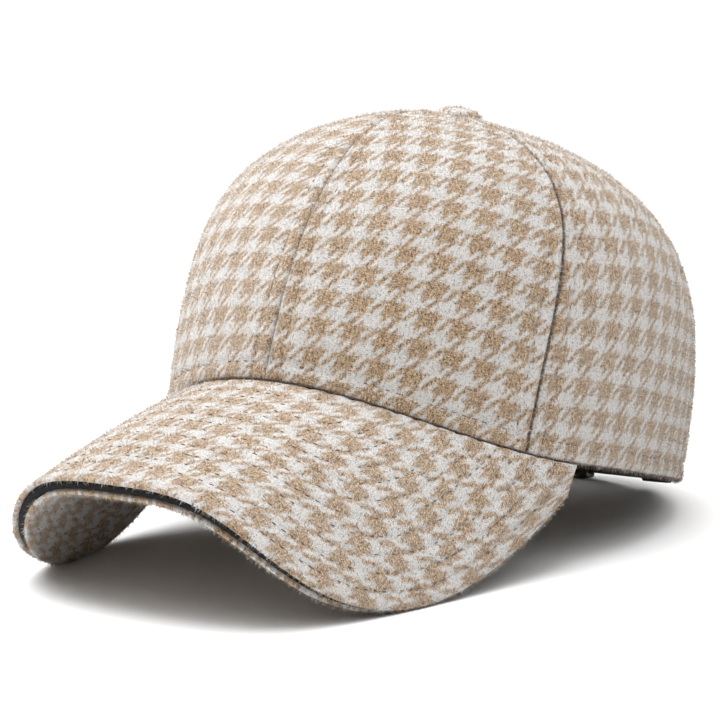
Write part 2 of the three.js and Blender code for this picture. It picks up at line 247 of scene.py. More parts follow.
def read_table(table, column, row):
    """Values between the entries of a table, and past its sides in step with the last two."""
    i = np.clip(np.floor(column).astype(int), 0, table.shape[0] - 2)
    j = np.clip(np.floor(row).astype(int), 0, table.shape[1] - 2)
    across, up = (column - i)[..., None], (row - j)[..., None]
    low = table[i, j] * (1 - across) + table[i + 1, j] * across
    high = table[i, j + 1] * (1 - across) + table[i + 1, j + 1] * across
    return low * (1 - up) + high * up


# The crown's outer surface: angle in degrees from the front, height from 0 at the rim to 1 at the apex
def rim_height(angle):
    turn = np.abs((angle + 180) % 360 - 180)
    share = np.minimum(turn / RIM_LIFT_SPREAD, 1)
    return RIM_LIFT_FRONT * (0.5 + 0.5 * np.cos(np.pi * share))


def closing(side, height):
    profile = PROFILES[side]
    share = np.maximum(1 - height ** profile["shoulder"], 0)
    return share ** (1 / profile["roundness"]) * (1 - profile["taper"] * height)


def crown_point(angle, height):
    sin, cos = np.sin(np.radians(angle)), np.cos(np.radians(angle))
    ahead = CROWN_FRONT * closing("front", height)
    behind = CROWN_BACK * closing("back", height)
    across = CROWN_HALF_WIDTH * closing("side", height)
    low = rim_height(angle)
    y = APEX_SET_BACK - np.where(cos > 0, ahead, behind) * cos
    return np.stack([across * sin, y, low + (CROWN_HEIGHT - low) * height], -1)


def measured_crown():
    """The crown as a table: evenly spaced angles, and even steps of length from rim to apex."""
    heights = 1 - (1 - np.linspace(0, 1, MERIDIAN_STEPS + 1)) ** 3
    shares = np.linspace(0, 1, TABLE_ROWS + 1)
    angles = np.linspace(0, 360, TABLE_ANGLES + 1)
    points = np.empty((len(angles), len(shares), 3))
    totals = np.empty(len(angles))
    for i, angle in enumerate(angles):
        line = crown_point(np.full_like(heights, angle), heights)
        steps = np.linalg.norm(np.diff(line, axis=0), axis=1)
        lengths = np.concatenate([[0], np.cumsum(steps)])
        totals[i] = lengths[-1]
        for k in range(3):
            points[i, :, k] = np.interp(shares * totals[i], lengths, line[:, k])
    return points, totals


CROWN_TABLE, CROWN_LENGTHS = measured_crown()


def crown_length(angle):
    return np.interp(angle % 360, np.linspace(0, 360, TABLE_ANGLES + 1), CROWN_LENGTHS)


def crown_at(angle, share):
    """Points of the outer surface by angle and by share of the way from rim to apex."""
    return read_table(CROWN_TABLE, (angle % 360) / 360 * TABLE_ANGLES, share * TABLE_ROWS)


def wall_normal(angle, distance):
    turn = 0.5
    rise = 0.0005
    length = crown_length(angle)
    sideways = crown_at(angle + turn, distance / length) - crown_at(angle - turn, distance / length)
    upwards = crown_at(angle, (distance + rise) / length) - crown_at(angle, (distance - rise) / length)
    return unit(np.cross(sideways, upwards))


def wall_point(angle, distance, depth=0.0):
    """A point of the crown's wall: distance up from the rim, depth out of the surface."""
    angle, distance = np.broadcast_arrays(np.asarray(angle, float), np.asarray(distance, float))
    place = crown_at(angle, distance / crown_length(angle))
    return place + np.asarray(depth)[..., None] * wall_normal(angle, distance)


# The peak's middle surface: side from -1 to 1 along it, share from 0 at the rim to 1 at the edge
def peak_height(x, y):
    rim = crown_point(0.0, 0.0)
    share = (rim[1] - y) / PEAK_REACH
    bend = PEAK_BEND * (np.abs(x) / PEAK_HALF_WIDTH) ** PEAK_BEND_POWER
    fall = PEAK_SLOPE * PEAK_REACH * share + PEAK_DIP * share * np.abs(share)
    return rim[2] - PEAK_CLOTH - GAP - bend * (1 + PEAK_BEND_GROWTH * share) - fall


def peak_edge(side):
    corner = crown_point(PEAK_CORNER_ANGLE, 0.0)
    length = corner[1] - crown_point(0.0, 0.0)[1] + PEAK_REACH
    across = np.sin(np.radians(90 * side))
    flare = (corner[0] - PEAK_HALF_WIDTH) * np.sign(side) * np.abs(side) ** PEAK_CORNER_FLARE
    x = PEAK_HALF_WIDTH * across + flare
    forward = np.maximum(1 - np.abs(across) ** PEAK_SIDE_SQUARENESS, 0) ** (1 / PEAK_FRONT_SQUARENESS)
    y = corner[1] - length * forward
    return np.stack([x, y, peak_height(x, y)], -1)


def peak_inner(side):
    turn = np.radians(side * PEAK_CORNER_ANGLE)
    inner = crown_point(side * PEAK_CORNER_ANGLE, np.zeros_like(side))
    rim_z = inner[..., 2].copy()
    inner[..., 0] -= PEAK_TUCK * np.sin(turn)
    inner[..., 1] += PEAK_TUCK * np.cos(turn)
    return inner, rim_z


def peak_middle(side, share, drop):
    inner, rim_z = peak_inner(side)
    point = inner + (peak_edge(side) - inner) * share[..., None]
    lift = rim_z - drop - peak_height(inner[..., 0], inner[..., 1])
    point[..., 2] = peak_height(point[..., 0], point[..., 1]) + (1 - share) * lift
    return point


def peak_normal(side, share, drop):
    step = 0.004
    sideways = peak_middle(side + step, share, drop) - peak_middle(side - step, share, drop)
    forwards = peak_middle(side, share + step, drop) - peak_middle(side, share - step, drop)
    return unit(np.cross(forwards, sideways))


def peak_drop(side):
    flat = peak_normal(side, np.zeros_like(side), np.zeros_like(side))
    return GAP + (PEAK_CLOTH + GAP / 2) * flat[..., 2]


def peak_point(side, share, depth):
    side, share, depth = np.broadcast_arrays(*[np.asarray(v, float) for v in (side, share, depth)])
    drop = peak_drop(side)
    return peak_middle(side, share, drop) + depth[..., None] * peak_normal(side, share, drop)


def peak_width(side):
    none = np.zeros_like(side)
    drop = peak_drop(side)
    return np.linalg.norm(peak_middle(side, none, drop) - peak_middle(side, none + 1, drop), axis=-1)


def peak_stations(count):
    """Places along the peak, closer together towards its corners."""
    even = np.linspace(-1, 1, count)
    return PEAK_CORNER_CUT * (0.5 * even + 0.5 * np.sin(np.pi / 2 * even))


# Distances from lines, and the folds, puffs and dents that follow the lines
def distance_to_line(points, line):
    """The distance of each point from a line of many short steps."""
    flat = points.reshape(-1, 3)
    best = np.empty(len(flat))
    start, step = line[:-1], np.diff(line, axis=0)
    length = np.maximum((step ** 2).sum(1), 1e-16)
    batch = 4000
    for low in range(0, len(flat), batch):
        part = flat[low:low + batch, None, :] - start[None]
        share = np.clip((part * step[None]).sum(-1) / length, 0, 1)
        gap = part - share[..., None] * step[None]
        best[low:low + batch] = np.sqrt((gap ** 2).sum(-1).min(1))
    return best.reshape(points.shape[:-1])


def lengths_along(line):
    """How far each point of a line is from its start, measured along it."""
    return np.concatenate([[0], np.cumsum(np.linalg.norm(np.diff(line, axis=0), axis=1))])


def fold(distance, radius):
    """How far a turned edge falls away, as a quarter of a circle."""
    inside = np.clip(1 - distance / radius, 0, 1)
    return radius * (1 - np.sqrt(1 - inside ** 2))


def bump(distance, width):
    return np.exp(-((distance / width) ** 2))


def puff(distance, shape):
    """A swelling of the cloth at some way in from its edge."""
    return shape["rise"] * bump(distance - shape["in"], shape["width"])


def stitched_dent(distance, along, shape):
    """The dent that a row of stitches pulls into the cloth, deeper at each stitch."""
    pull = shape["depth"] + shape["pucker"] * np.cos(2 * np.pi * along / STITCH_PITCH)
    return bump(distance, ROW_WIDTH) * pull


def fuzzy_edge(distance):
    """How thickly the nap stands near an edge of the cloth, with 1 for the rest of it."""
    return 1 + EDGE_FUZZ * bump(distance, EDGE_FUZZ_WIDTH)


def waviness(place, scale, phase):
    """Slow unevenness between -1 and 1, made of a few crossed waves."""
    a, b = place[..., 0] / scale, place[..., 1] / scale
    wave = np.sin(a + 1.7 * b + phase) + np.sin(2.3 * a - 1.1 * b + 2.1 * phase)
    wave += np.sin(-0.9 * a + 2.7 * b + 0.7 * phase) + 0.6 * np.sin(4.1 * a + 3.3 * b + phase)
    return wave / 3.6


# Cloth laid flat: its own coordinates, so that the check keeps its size and its right angles
def linked(step):
    """The two parts of a grid whose points are that step apart."""
    across, up = step
    first = (slice(across, None), slice(max(up, 0), up if up < 0 else None))
    second = (slice(None, -across or None), slice(max(-up, 0), -up if up > 0 else None))
    return first, second


def lay_flat(places, flat):
    """Eases flat coordinates until their spacing is that of the curved surface."""
    pairs = [linked(step) for step in ((1, 0), (0, 1), (1, 1), (1, -1))]
    rests = [np.linalg.norm(places[a] - places[b], axis=-1) for a, b in pairs]
    count = np.zeros(flat.shape[:2] + (1,))
    for a, b in pairs:
        count[a] += 1
        count[b] += 1
    for _ in range(FLAT_ROUNDS):
        push = np.zeros_like(flat)
        for (a, b), rest in zip(pairs, rests):
            gap = flat[a] - flat[b]
            share = 0.5 - 0.5 * rest / np.maximum(np.linalg.norm(gap, axis=-1), 1e-9)
            push[a] -= gap * share[..., None]
            push[b] += gap * share[..., None]
        flat = flat + push / count
    return flat


def read_flat(table, column, row):
    """Flat coordinates by fractions of the way along both sides of their table."""
    column = np.clip(column, 0, 1) * (table.shape[0] - 1)
    return read_table(table, column, np.clip(row, 0, 1) * (table.shape[1] - 1))


def flat_panel(start, end):
    """Flat coordinates of one panel, upright on its middle line."""
    angles = np.linspace(start, end, FLAT_COLUMNS)
    shares = np.linspace(0, FLAT_TOP, FLAT_ROWS)
    places = crown_at(angles[:, None] + 0 * shares, shares + 0 * angles[:, None])
    middle, halfway = FLAT_COLUMNS // 2, FLAT_ROWS // 2
    across = np.linalg.norm(np.diff(places, axis=0), axis=-1)
    across = np.concatenate([np.zeros((1, FLAT_ROWS)), np.cumsum(across, axis=0)])
    across -= across[middle]
    up = shares * crown_length(angles)[:, None]
    flat = lay_flat(places, np.stack([across, up], -1))
    flat -= flat[middle, 0]
    lean = math.atan2(*flat[middle, halfway])
    sin, cos = math.sin(lean), math.cos(lean)
    return np.stack([flat[..., 0] * cos - flat[..., 1] * sin, flat[..., 0] * sin + flat[..., 1] * cos], -1)


def flat_peak():
    """Flat coordinates of the peak, from its middle line outwards and back from its edge."""
    side = np.linspace(-1, 1, FLAT_PEAK_COLUMNS) * FLAT_SIDE
    share = np.linspace(0, 1, FLAT_PEAK_ROWS)
    places = peak_point(side[:, None], share, 0.0)
    middle = places[FLAT_PEAK_COLUMNS // 2, FLAT_PEAK_ROWS // 2]
    x = np.linspace(0, 0.1, 400)
    arcs = np.concatenate([[0], np.cumsum(np.hypot(np.diff(x), np.diff(peak_height(x, middle[1]))))])
    across = np.sign(places[..., 0]) * np.interp(np.abs(places[..., 0]), x, arcs)
    back = places[..., 1] * math.hypot(1, PEAK_SLOPE)
    return lay_flat(places, np.stack([across, back], -1)) / np.array([PEAK_STRETCH, 1])


# Meshes
def grid_quads(first, columns, rows):
    c, r = np.meshgrid(np.arange(columns - 1), np.arange(rows - 1), indexing="ij")
    corner = first + c * rows + r
    return np.stack([corner, corner + rows, corner + rows + 1, corner + 1], -1).reshape(-1, 4).tolist()


def join_edges(fine, coarse):
    """Triangles between two rows of points, the first with more of them, both end to end."""
    faces = []
    step = (len(fine) - 1) // (len(coarse) - 1)
    for i in range(len(coarse) - 1):
        half = step // 2
        here = i * step
        for k in range(step):
            near = coarse[i] if k < half else coarse[i + 1]
            faces.append([fine[here + k], fine[here + k + 1], near])
        faces.append([coarse[i], fine[here + half], coarse[i + 1]])
    return faces


def shell(outer, inner_coarse):
    """Faces of a closed wall: a fine outer grid, a coarser inner grid and the four edges between them."""
    columns, rows = outer.shape[:2]
    few, low = inner_coarse.shape[:2]
    start = columns * rows
    faces = grid_quads(0, columns, rows) + grid_quads(start, few, low)
    fine = np.arange(columns * rows).reshape(columns, rows)
    coarse = start + np.arange(few * low).reshape(few, low)
    for edge in ((0, slice(None)), (-1, slice(None)), (slice(None), 0), (slice(None), -1)):
        faces += join_edges(fine[edge].tolist(), coarse[edge].tolist())
    return np.concatenate([outer.reshape(-1, 3), inner_coarse.reshape(-1, 3)]), faces


def tube(rings):
    """A closed solid through rings of points, with its two ends filled."""
    count, size = rings.shape[:2]
    i, j = np.meshgrid(np.arange(count - 1), np.arange(size), indexing="ij")
    k = (j + 1) % size
    quads = np.stack([i * size + j, (i + 1) * size + j, (i + 1) * size + k, i * size + k], -1)
    faces = quads.reshape(-1, 4).tolist()
    faces.append(list(range(size)))
    faces.append(list(range((count - 1) * size, count * size)))
    return rings.reshape(-1, 3), faces


def smooth_faces(mesh):
    mesh.polygons.foreach_set("use_smooth", np.ones(len(mesh.polygons), bool))


def add_attribute(mesh, name, values):
    """Numbers or directions kept at the points of a mesh."""
    kind, field = ("FLOAT", "value") if np.ndim(values) == 1 else ("FLOAT_VECTOR", "vector")
    layer = mesh.attributes.new(name, kind, "POINT")
    layer.data.foreach_set(field, np.ascontiguousarray(values, np.float32).ravel())


def add_object(name, data):
    thing = bpy.data.objects.new(name, data)
    bpy.context.scene.collection.objects.link(thing)
    return thing


def make_piece(name, points, faces, weave, material, brushed=None, creased=None):
    """A closed, outward, smooth mesh with its cloth coordinates, placed as the cap rests."""
    mesh = bpy.data.meshes.new(name)
    placed = at_rest(points)
    placed[:, 2] = np.maximum(placed[:, 2], 0)
    mesh.from_pydata(placed.tolist(), [], faces)
    add_attribute(mesh, "weave", weave)
    add_attribute(mesh, "brushed", np.ones(len(points)) if brushed is None else brushed)
    # Painted shade along the seams and the rim's edge
    add_attribute(mesh, "creased", np.zeros(len(points)) if creased is None else creased)
    work = bmesh.new()
    work.from_mesh(mesh)
    bmesh.ops.recalc_face_normals(work, faces=work.faces)
    work.to_mesh(mesh)
    work.free()
    smooth_faces(mesh)
    mesh.materials.append(material)
    return add_object(name, mesh)


# Node helpers
def add_node(tree, kind, settings=None, inputs=None):
    """One node, with its settings, and its inputs set to values or wired to other nodes' outputs."""
    node = tree.nodes.new(kind)
    for name, value in (settings or {}).items():
        setattr(node, name, value)
    for name, value in (inputs or {}).items():
        if isinstance(value, bpy.types.NodeSocket):
            tree.links.new(value, node.inputs[name])
        else:
            node.inputs[name].default_value = value
    return node


def maths(tree, operation, first, second=0.0):
    node = add_node(tree, "ShaderNodeMath", {"operation": operation}, {0: first, 1: second})
    return node.outputs[0]


def vector_maths(tree, operation, first, second):
    node = add_node(tree, "ShaderNodeVectorMath", {"operation": operation}, {0: first, 1: second})
    return node.outputs[0]


def noise(tree, place, scale, detail=2.0, output="Fac", shift=None):
    if shift:
        place = vector_maths(tree, "ADD", place, shift)
    inputs = {"Vector": place, "Scale": scale, "Detail": detail, "Roughness": 0.6}
    return add_node(tree, "ShaderNodeTexNoise", {"noise_dimensions": "3D"}, inputs).outputs[output]


def blend_colours(tree, share, low, high):
    node = add_node(tree, "ShaderNodeMix", {"data_type": "RGBA"}, {0: share, 6: low, 7: high})
    return node.outputs[2]


def stretch(tree, value, low, high, to_low=0.0, to_high=1.0):
    inputs = {"Value": value, "From Min": low, "From Max": high, "To Min": to_low, "To Max": to_high}
    return add_node(tree, "ShaderNodeMapRange", {"clamp": True}, inputs).outputs[0]


def weighted_sum(tree, *parts):
    """The sum of several values, each given with its weight."""
    total = 0.0
    for value, weight in parts:
        total = maths(tree, "ADD", maths(tree, "MULTIPLY", value, weight), total)
    return total


def new_material(name, roughness, sheen, metallic, specular):
    material = bpy.data.materials.new(name)
    material.use_nodes = True
    shader = material.node_tree.nodes["Principled BSDF"]
    values = {"Roughness": roughness, "Sheen Weight": sheen, "Sheen Roughness": 0.45, "Metallic": metallic,
              "Specular IOR Level": specular}
    for label, value in values.items():
        shader.inputs[label].default_value = value
    return material, material.node_tree, shader


def add_bump(tree, shader, height, distance, strength):
    inputs = {"Height": height, "Distance": distance, "Strength": strength}
    node = add_node(tree, "ShaderNodeBump", None, inputs)
    tree.links.new(node.outputs[0], shader.inputs["Normal"])


# Materials
def band(tree, value, half, soft, spread=0.0):
    """A soft stripe of that half width, widened by the spread, round 0 and each four half widths on."""
    away = maths(tree, "PINGPONG", value, 2 * half)
    return stretch(tree, away, half + spread + soft, half + spread - soft)


def check_group(settings):
    """The houndstooth check: six tan and six pale threads across, four and four up, in a two by two twill."""
    tree = bpy.data.node_groups.new("houndstooth check", "ShaderNodeTree")
    tree.interface.new_socket("Place", in_out="INPUT", socket_type="NodeSocketVector")
    tree.interface.new_socket("Tan", in_out="OUTPUT", socket_type="NodeSocketFloat")
    start = tree.nodes.new("NodeGroupInput")
    end = tree.nodes.new("NodeGroupOutput")
    parts = add_node(tree, "ShaderNodeSeparateXYZ", None, {0: start.outputs["Place"]})
    across = maths(tree, "DIVIDE", parts.outputs[0], settings.repeat_across / 12)
    up = maths(tree, "DIVIDE", parts.outputs[1], settings.repeat_up / 8)
    warp = band(tree, maths(tree, "SUBTRACT", across, 3.0), 3.0, settings.feather, settings.tan_spread)
    weft = band(tree, maths(tree, "SUBTRACT", up, 2.0), 2.0, settings.feather, settings.tan_spread)
    twill = maths(tree, "SUBTRACT", maths(tree, "ADD", across, 2.5), up)
    over = band(tree, twill, 1.0, settings.feather)
    seen = add_node(tree, "ShaderNodeMix", {"data_type": "FLOAT"}, {0: over, 2: weft, 3: warp})
    tree.links.new(seen.outputs[0], end.inputs["Tan"])
    return tree


def attribute(tree, name, output):
    return add_node(tree, "ShaderNodeAttribute", {"attribute_name": name}).outputs[output]


def object_place(tree):
    return add_node(tree, "ShaderNodeTexCoord").outputs["Object"]


def feathered_check(tree, place, settings):
    """How tan the cloth is at each place: the check, with wandering threads and brushed-out edges."""
    check = check_group(settings)
    half = (0.5, 0.5, 0.5)
    wander = vector_maths(tree, "SUBTRACT", noise(tree, place, 240.0, 1.0, "Color"), half)
    wandered = vector_maths(tree, "ADD", place, vector_maths(tree, "MULTIPLY", wander, (0.0014,) * 3))
    seen = []
    for i, (scale, reach) in enumerate(FEATHERS):
        feather = noise(tree, place, scale, 1.0, "Color", (0.37 * i, 0.11 * i, 0.05))
        feather = vector_maths(tree, "SUBTRACT", feather, half)
        shifted = vector_maths(tree, "MULTIPLY", feather, (reach, 1.3 * reach, reach))
        group = add_node(tree, "ShaderNodeGroup", {"node_tree": check})
        tree.links.new(vector_maths(tree, "ADD", wandered, shifted), group.inputs["Place"])
        seen.append((group.outputs["Tan"], 1 / len(FEATHERS)))
    return weighted_sum(tree, *seen)


def cloth_material(settings):
    """Brushed houndstooth: threads that wander, feathered edges, flecks and a soft nap, with painted shade in
    the seams and along the rim.
    """
    material, tree, shader = new_material(CLOTH_LOOK, 0.92, settings.sheen, 0.0, 0.12)
    place = attribute(tree, "weave", "Vector")
    tan = feathered_check(tree, place, settings)
    grain = noise(tree, place, 2400.0, 3.0)
    coarse = noise(tree, place, 1150.0, shift=(0.7, 0.2, 0.4))
    fleck = noise(tree, place, 1900.0, shift=(0.2, 0.3, 0.1))
    streak = noise(tree, vector_maths(tree, "MULTIPLY", place, (1.0, 0.35, 1.0)), 1500.0)
    drift = noise(tree, place, 170.0, 1.0, shift=(0.5, 0.6, 0.3))
    mixed = weighted_sum(tree, (grain, 0.45), (coarse, 0.30), (streak, 0.25))
    warm = blend_colours(tree, stretch(tree, drift, 0.42, 0.60), settings.tan, settings.tan_warm)
    dark = blend_colours(tree, stretch(tree, mixed, 0.415, 0.495), settings.tan_shade, warm)
    dark = blend_colours(tree, stretch(tree, mixed, 0.515, 0.575), dark, settings.tan_light)
    pale = blend_colours(tree, stretch(tree, mixed, 0.395, 0.495), settings.cream_shade, settings.cream)
    colour = blend_colours(tree, tan, pale, dark)
    often = stretch(tree, tan, 0.0, 1.0, 0.12, 0.6)
    flecked = maths(tree, "MULTIPLY", stretch(tree, fleck, 0.60, 0.68), often)
    colour = blend_colours(tree, flecked, colour, settings.fleck)
    # Painted shade: the colour darkens to the crease colour along the seams and the rim's edge, with a ragged
    # border
    ragged_shade = maths(tree, "ADD", attribute(tree, "creased", "Fac"), coarse)
    colour = blend_colours(tree, stretch(tree, ragged_shade, 0.95, 1.35), colour, settings.painted_crease_colour)
    tree.links.new(colour, shader.inputs["Base Color"])
    add_bump(tree, shader, weighted_sum(tree, (grain, 0.7), (fleck, 0.5)), 0.0014, 0.9)
    return material


def ribbed_material(name, colour, ridge):
    """A closely ribbed woven finish, with ribs across the direction that the look names."""
    look = RIBBED_LOOKS[name]
    material, tree, shader = new_material(name, 0.8, look["sheen"], 0.0, 0.15)
    place = attribute(tree, "weave", "Vector")
    inputs = {0: place, 1: look["direction"]}
    along = add_node(tree, "ShaderNodeVectorMath", {"operation": "DOT_PRODUCT"}, inputs).outputs["Value"]
    rib = maths(tree, "SINE", maths(tree, "MULTIPLY", along, 2 * math.pi * look["ribs"]))
    height = maths(tree, "ADD", rib, maths(tree, "MULTIPLY", noise(tree, place, 1800.0), 1.2))
    shade = blend_colours(tree, stretch(tree, height, -0.6, 1.6), colour, ridge)
    tree.links.new(shade, shader.inputs["Base Color"])
    add_bump(tree, shader, height, 0.0002, 0.6)
    return material


def thread_material(settings):
    """Sewing thread, darker where it twists, in a dark brown that is partly the thread's own colour and
    partly painted shade of the holes and dents that it sits in.
    """
    material, tree, shader = new_material(THREAD_LOOK, 0.7, 0.2, 0.0, 0.2)
    twist = noise(tree, object_place(tree), 900.0)
    turned_up = stretch(tree, twist, 0.35, 0.65)
    colour = blend_colours(tree, turned_up, settings.thread_shade, settings.thread_and_hole_shade)
    tree.links.new(colour, shader.inputs["Base Color"])
    add_bump(tree, shader, twist, 0.0002, 0.5)
    return material


def metal_material(settings):
    """Blackened satin brass, finely scratched and a little brighter where it is rubbed."""
    material, tree, shader = new_material(METAL_LOOK, 0.4, 0.0, 1.0, 0.5)
    place = object_place(tree)
    patches = noise(tree, place, 180.0)
    scratches = noise(tree, vector_maths(tree, "MULTIPLY", place, (1.0, 9.0, 9.0)), 700.0, 3.0)
    colour = blend_colours(tree, stretch(tree, patches, 0.35, 0.65), settings.metal, settings.metal_rubbed)
    tree.links.new(colour, shader.inputs["Base Color"])
    rough = stretch(tree, patches, 0.3, 0.7, 0.48, 0.26)
    rough = maths(tree, "ADD", rough, maths(tree, "MULTIPLY", scratches, 0.15))
    tree.links.new(rough, shader.inputs["Roughness"])
    add_bump(tree, shader, scratches, 0.0001, 0.35)
    return material


# Geometry Nodes
def new_geometry_tree(name, **sockets):
    """A Geometry Nodes tree with named inputs, the sockets that give them, and their identifiers."""
    tree = bpy.data.node_groups.new(name, "GeometryNodeTree")
    tree.interface.new_socket("Geometry", in_out="INPUT", socket_type="NodeSocketGeometry")
    tree.interface.new_socket("Geometry", in_out="OUTPUT", socket_type="NodeSocketGeometry")
    identifiers = {}
    for label, kind in sockets.items():
        socket = tree.interface.new_socket(label, in_out="INPUT", socket_type="NodeSocket" + kind)
        identifiers[label] = socket.identifier
    return tree, tree.nodes.new("NodeGroupInput").outputs, identifiers


def end_tree(tree, geometry, material):
    real = add_node(tree, "GeometryNodeRealizeInstances", None, {0: geometry})
    inputs = {"Geometry": real.outputs[0], "Material": material}
    dressed = add_node(tree, "GeometryNodeSetMaterial", None, inputs)
    end = tree.nodes.new("NodeGroupOutput")
    tree.links.new(dressed.outputs[0], end.inputs[0])


def run_tree(source, tree, identifiers, values, name):
    """Runs a tree on a copy of an object's mesh and keeps the result as a plain mesh of its own."""
    piece = add_object(name, source.data.copy())
    modifier = piece.modifiers.new("nodes", "NODES")
    modifier.node_group = tree
    for label, value in values.items():
        modifier[identifiers[label]] = value
    keep_finished(piece, modifier)
    piece.data.name = name
    smooth_faces(piece.data)
    return piece


def keep_finished(piece, modifier):
    """Makes what a modifier shows into the piece's own plain mesh."""
    ready = piece.evaluated_get(bpy.context.evaluated_depsgraph_get())
    mesh = bpy.data.meshes.new_from_object(ready)
    piece.modifiers.remove(modifier)
    piece.data = mesh


def axes(tree, x=0.0, y=0.0, z=0.0):
    return add_node(tree, "ShaderNodeCombineXYZ", None, {0: x, 1: y, 2: z}).outputs[0]


def named(tree, kind, name):
    return add_node(tree, "GeometryNodeInputNamedAttribute", {"data_type": kind}, {"Name": name}).outputs[0]


def random_between(tree, low, high, seed):
    inputs = {2: low, 3: high, "Seed": seed}
    return add_node(tree, "FunctionNodeRandomValue", {"data_type": "FLOAT"}, inputs).outputs[1]


def turned(tree, rotation, by):
    local = {"rotation_space": "LOCAL"}
    return add_node(tree, "FunctionNodeRotateRotation", local, {0: rotation, 1: by}).outputs[0]


def place_copies(tree, **inputs):
    return add_node(tree, "GeometryNodeInstanceOnPoints", None, inputs).outputs[0]


def stitch_tree():
    """A stitch at every pitch along a line, lying on the cloth that the line's outward attribute names."""
    tree, given, identifiers = new_geometry_tree(
        "stitch rows", Pitch="Float", Length="Float", Thickness="Float", Showing="Float", Seed="Int",
        Material="Material")
    line = add_node(tree, "GeometryNodeMeshToCurve", None, {0: given["Geometry"]})
    marks = add_node(tree, "GeometryNodeResampleCurve", {"mode": "LENGTH"},
                     {"Curve": line.outputs[0], "Length": given["Pitch"]})
    tangent = add_node(tree, "GeometryNodeInputTangent").outputs[0]
    turn = add_node(tree, "FunctionNodeAxesToRotation", {"primary_axis": "X", "secondary_axis": "Z"},
                    {0: tangent, 1: named(tree, "FLOAT_VECTOR", "outward")})
    stitch = add_node(tree, "GeometryNodeMeshUVSphere", None, {"Segments": 6, "Rings": 4, "Radius": 0.5})
    size = axes(tree, given["Length"], given["Thickness"], given["Thickness"])
    for change in ({"Rotation": (0, math.pi / 2, 0)}, {"Scale": size}):
        stitch = add_node(tree, "GeometryNodeTransform", None, {"Geometry": stitch.outputs[0], **change})
    shown = add_node(tree, "FunctionNodeRandomValue", {"data_type": "BOOLEAN"},
                     {6: given["Showing"], 8: given["Seed"]})
    copies = place_copies(tree, Points=marks.outputs[0], Selection=shown.outputs[3],
                          Instance=stitch.outputs[0], Rotation=turn.outputs[0])
    end_tree(tree, copies, given["Material"])
    return tree, identifiers


def nap_tree():
    """Loose fibres scattered over the outside of the cloth, each leaning its own way."""
    tree, given, identifiers = new_geometry_tree(
        "nap", Density="Float", Shortest="Float", Longest="Float", Lean="Float", Seed="Int", Fibre="Object",
        Material="Material")
    density = maths(tree, "MULTIPLY", given["Density"], named(tree, "FLOAT", "brushed"))
    roots = add_node(tree, "GeometryNodeDistributePointsOnFaces", {"distribute_method": "RANDOM"},
                     {"Mesh": given["Geometry"], "Density": density, "Seed": given["Seed"]})
    spin = axes(tree, z=random_between(tree, 0.0, 2 * math.pi, 3))
    tilt = axes(tree, x=random_between(tree, LEAST_LEAN, given["Lean"], 5))
    lean = turned(tree, turned(tree, roots.outputs["Rotation"], spin), tilt)
    size = random_between(tree, given["Shortest"], given["Longest"], 7)
    fibre = add_node(tree, "GeometryNodeObjectInfo", None, {"Object": given["Fibre"]}).outputs["Geometry"]
    copies = place_copies(tree, Points=roots.outputs["Points"], Instance=fibre, Rotation=lean, Scale=size)
    end_tree(tree, copies, given["Material"])
    return tree, identifiers


# Crown panels
def arch_partner(value, reach, partner_reach):
    """The arch's outline: its half width at a height, or its height at a half width."""
    share = np.clip(np.abs(value) / reach, 0, 1)
    return partner_reach * (1 - share ** ARCH_ROUNDNESS) ** (1 / ARCH_ROUNDNESS)


def arch_half_width(height):
    return arch_partner(height, ARCH_HEIGHT, ARCH_HALF_WIDTH)


def arch_height(half_width):
    return arch_partner(half_width, ARCH_HALF_WIDTH, ARCH_HEIGHT)


def back_angle(x, z):
    """The angle at which the back of the crown has that width and height."""
    across = CROWN_HALF_WIDTH * closing("side", z / CROWN_HEIGHT)
    return 180 - np.degrees(np.arcsin(x / across))


def shares_at_heights(angles, heights):
    """How far up the wall, as a share of its length, each angle's line reaches its height."""
    shares = np.linspace(0, 1, TABLE_ROWS)
    lines = [crown_at(np.full(TABLE_ROWS, angle), shares) for angle in angles]
    return np.array([np.interp(height, line[:, 2], shares) for height, line in zip(heights, lines)])


def arch_columns():
    """Angles of the back left panel's columns over the arch, and how far up the wall each starts."""
    turn = np.arccos((SEAM_STEPS[-1] / ARCH_HALF_WIDTH) ** (ARCH_ROUNDNESS / 2))
    turns = turn * (1 - np.linspace(0, 1, ARCH_COLUMNS - len(SEAM_STEPS) + 1)[1:])
    x = np.concatenate([SEAM_STEPS, ARCH_HALF_WIDTH * np.cos(turns) ** (2 / ARCH_ROUNDNESS)])
    z = arch_height(x)
    angles = back_angle(x, z)
    starts = shares_at_heights(angles, z) * crown_length(angles)
    return angles[::-1], starts[::-1]


def even_columns(start, end, fine_end):
    """Angles between two places of the rim, close together at the seams that have a fold."""
    corners = crown_at(np.array([start, end]), np.zeros(2))
    width = np.linalg.norm(corners[0] - corners[1])
    near = SEAM_STEPS / width
    last = 1 - near[-1] if fine_end else 1.0
    spans = COARSER * max(int(round((last - near[-1]) * width / COLUMN_STEP / COARSER)), 1)
    if not fine_end:
        spans += (1 - len(near)) % COARSER
    shares = np.concatenate([near[:-1], np.linspace(near[-1], last, spans + 1)])
    if fine_end:
        shares = np.concatenate([shares, (1 - near[:-1])[::-1]])
    return start + (end - start) * shares


def panel_columns(panel):
    """The angles of a panel's columns, and how far up the wall each starts: above the rim over the arch."""
    if "back" not in panel["name"]:
        angles = even_columns(panel["from"], panel["to"], True)
        return angles, np.zeros(len(angles))
    over, starts = arch_columns()
    beside = even_columns(BACK_SEAM, over[0], False)[:-1]
    # The inner side has a column to every few of these, so the few left over go
    spare = (len(beside) + len(over) - 1) % COARSER
    beside = np.delete(beside, np.arange(len(SEAM_STEPS), len(SEAM_STEPS) + spare))
    angles = np.concatenate([beside, over])
    starts = np.concatenate([np.zeros(len(beside)), starts])
    if panel["name"].endswith("right"):
        return 360 - angles[::-1], starts[::-1]
    return angles, starts


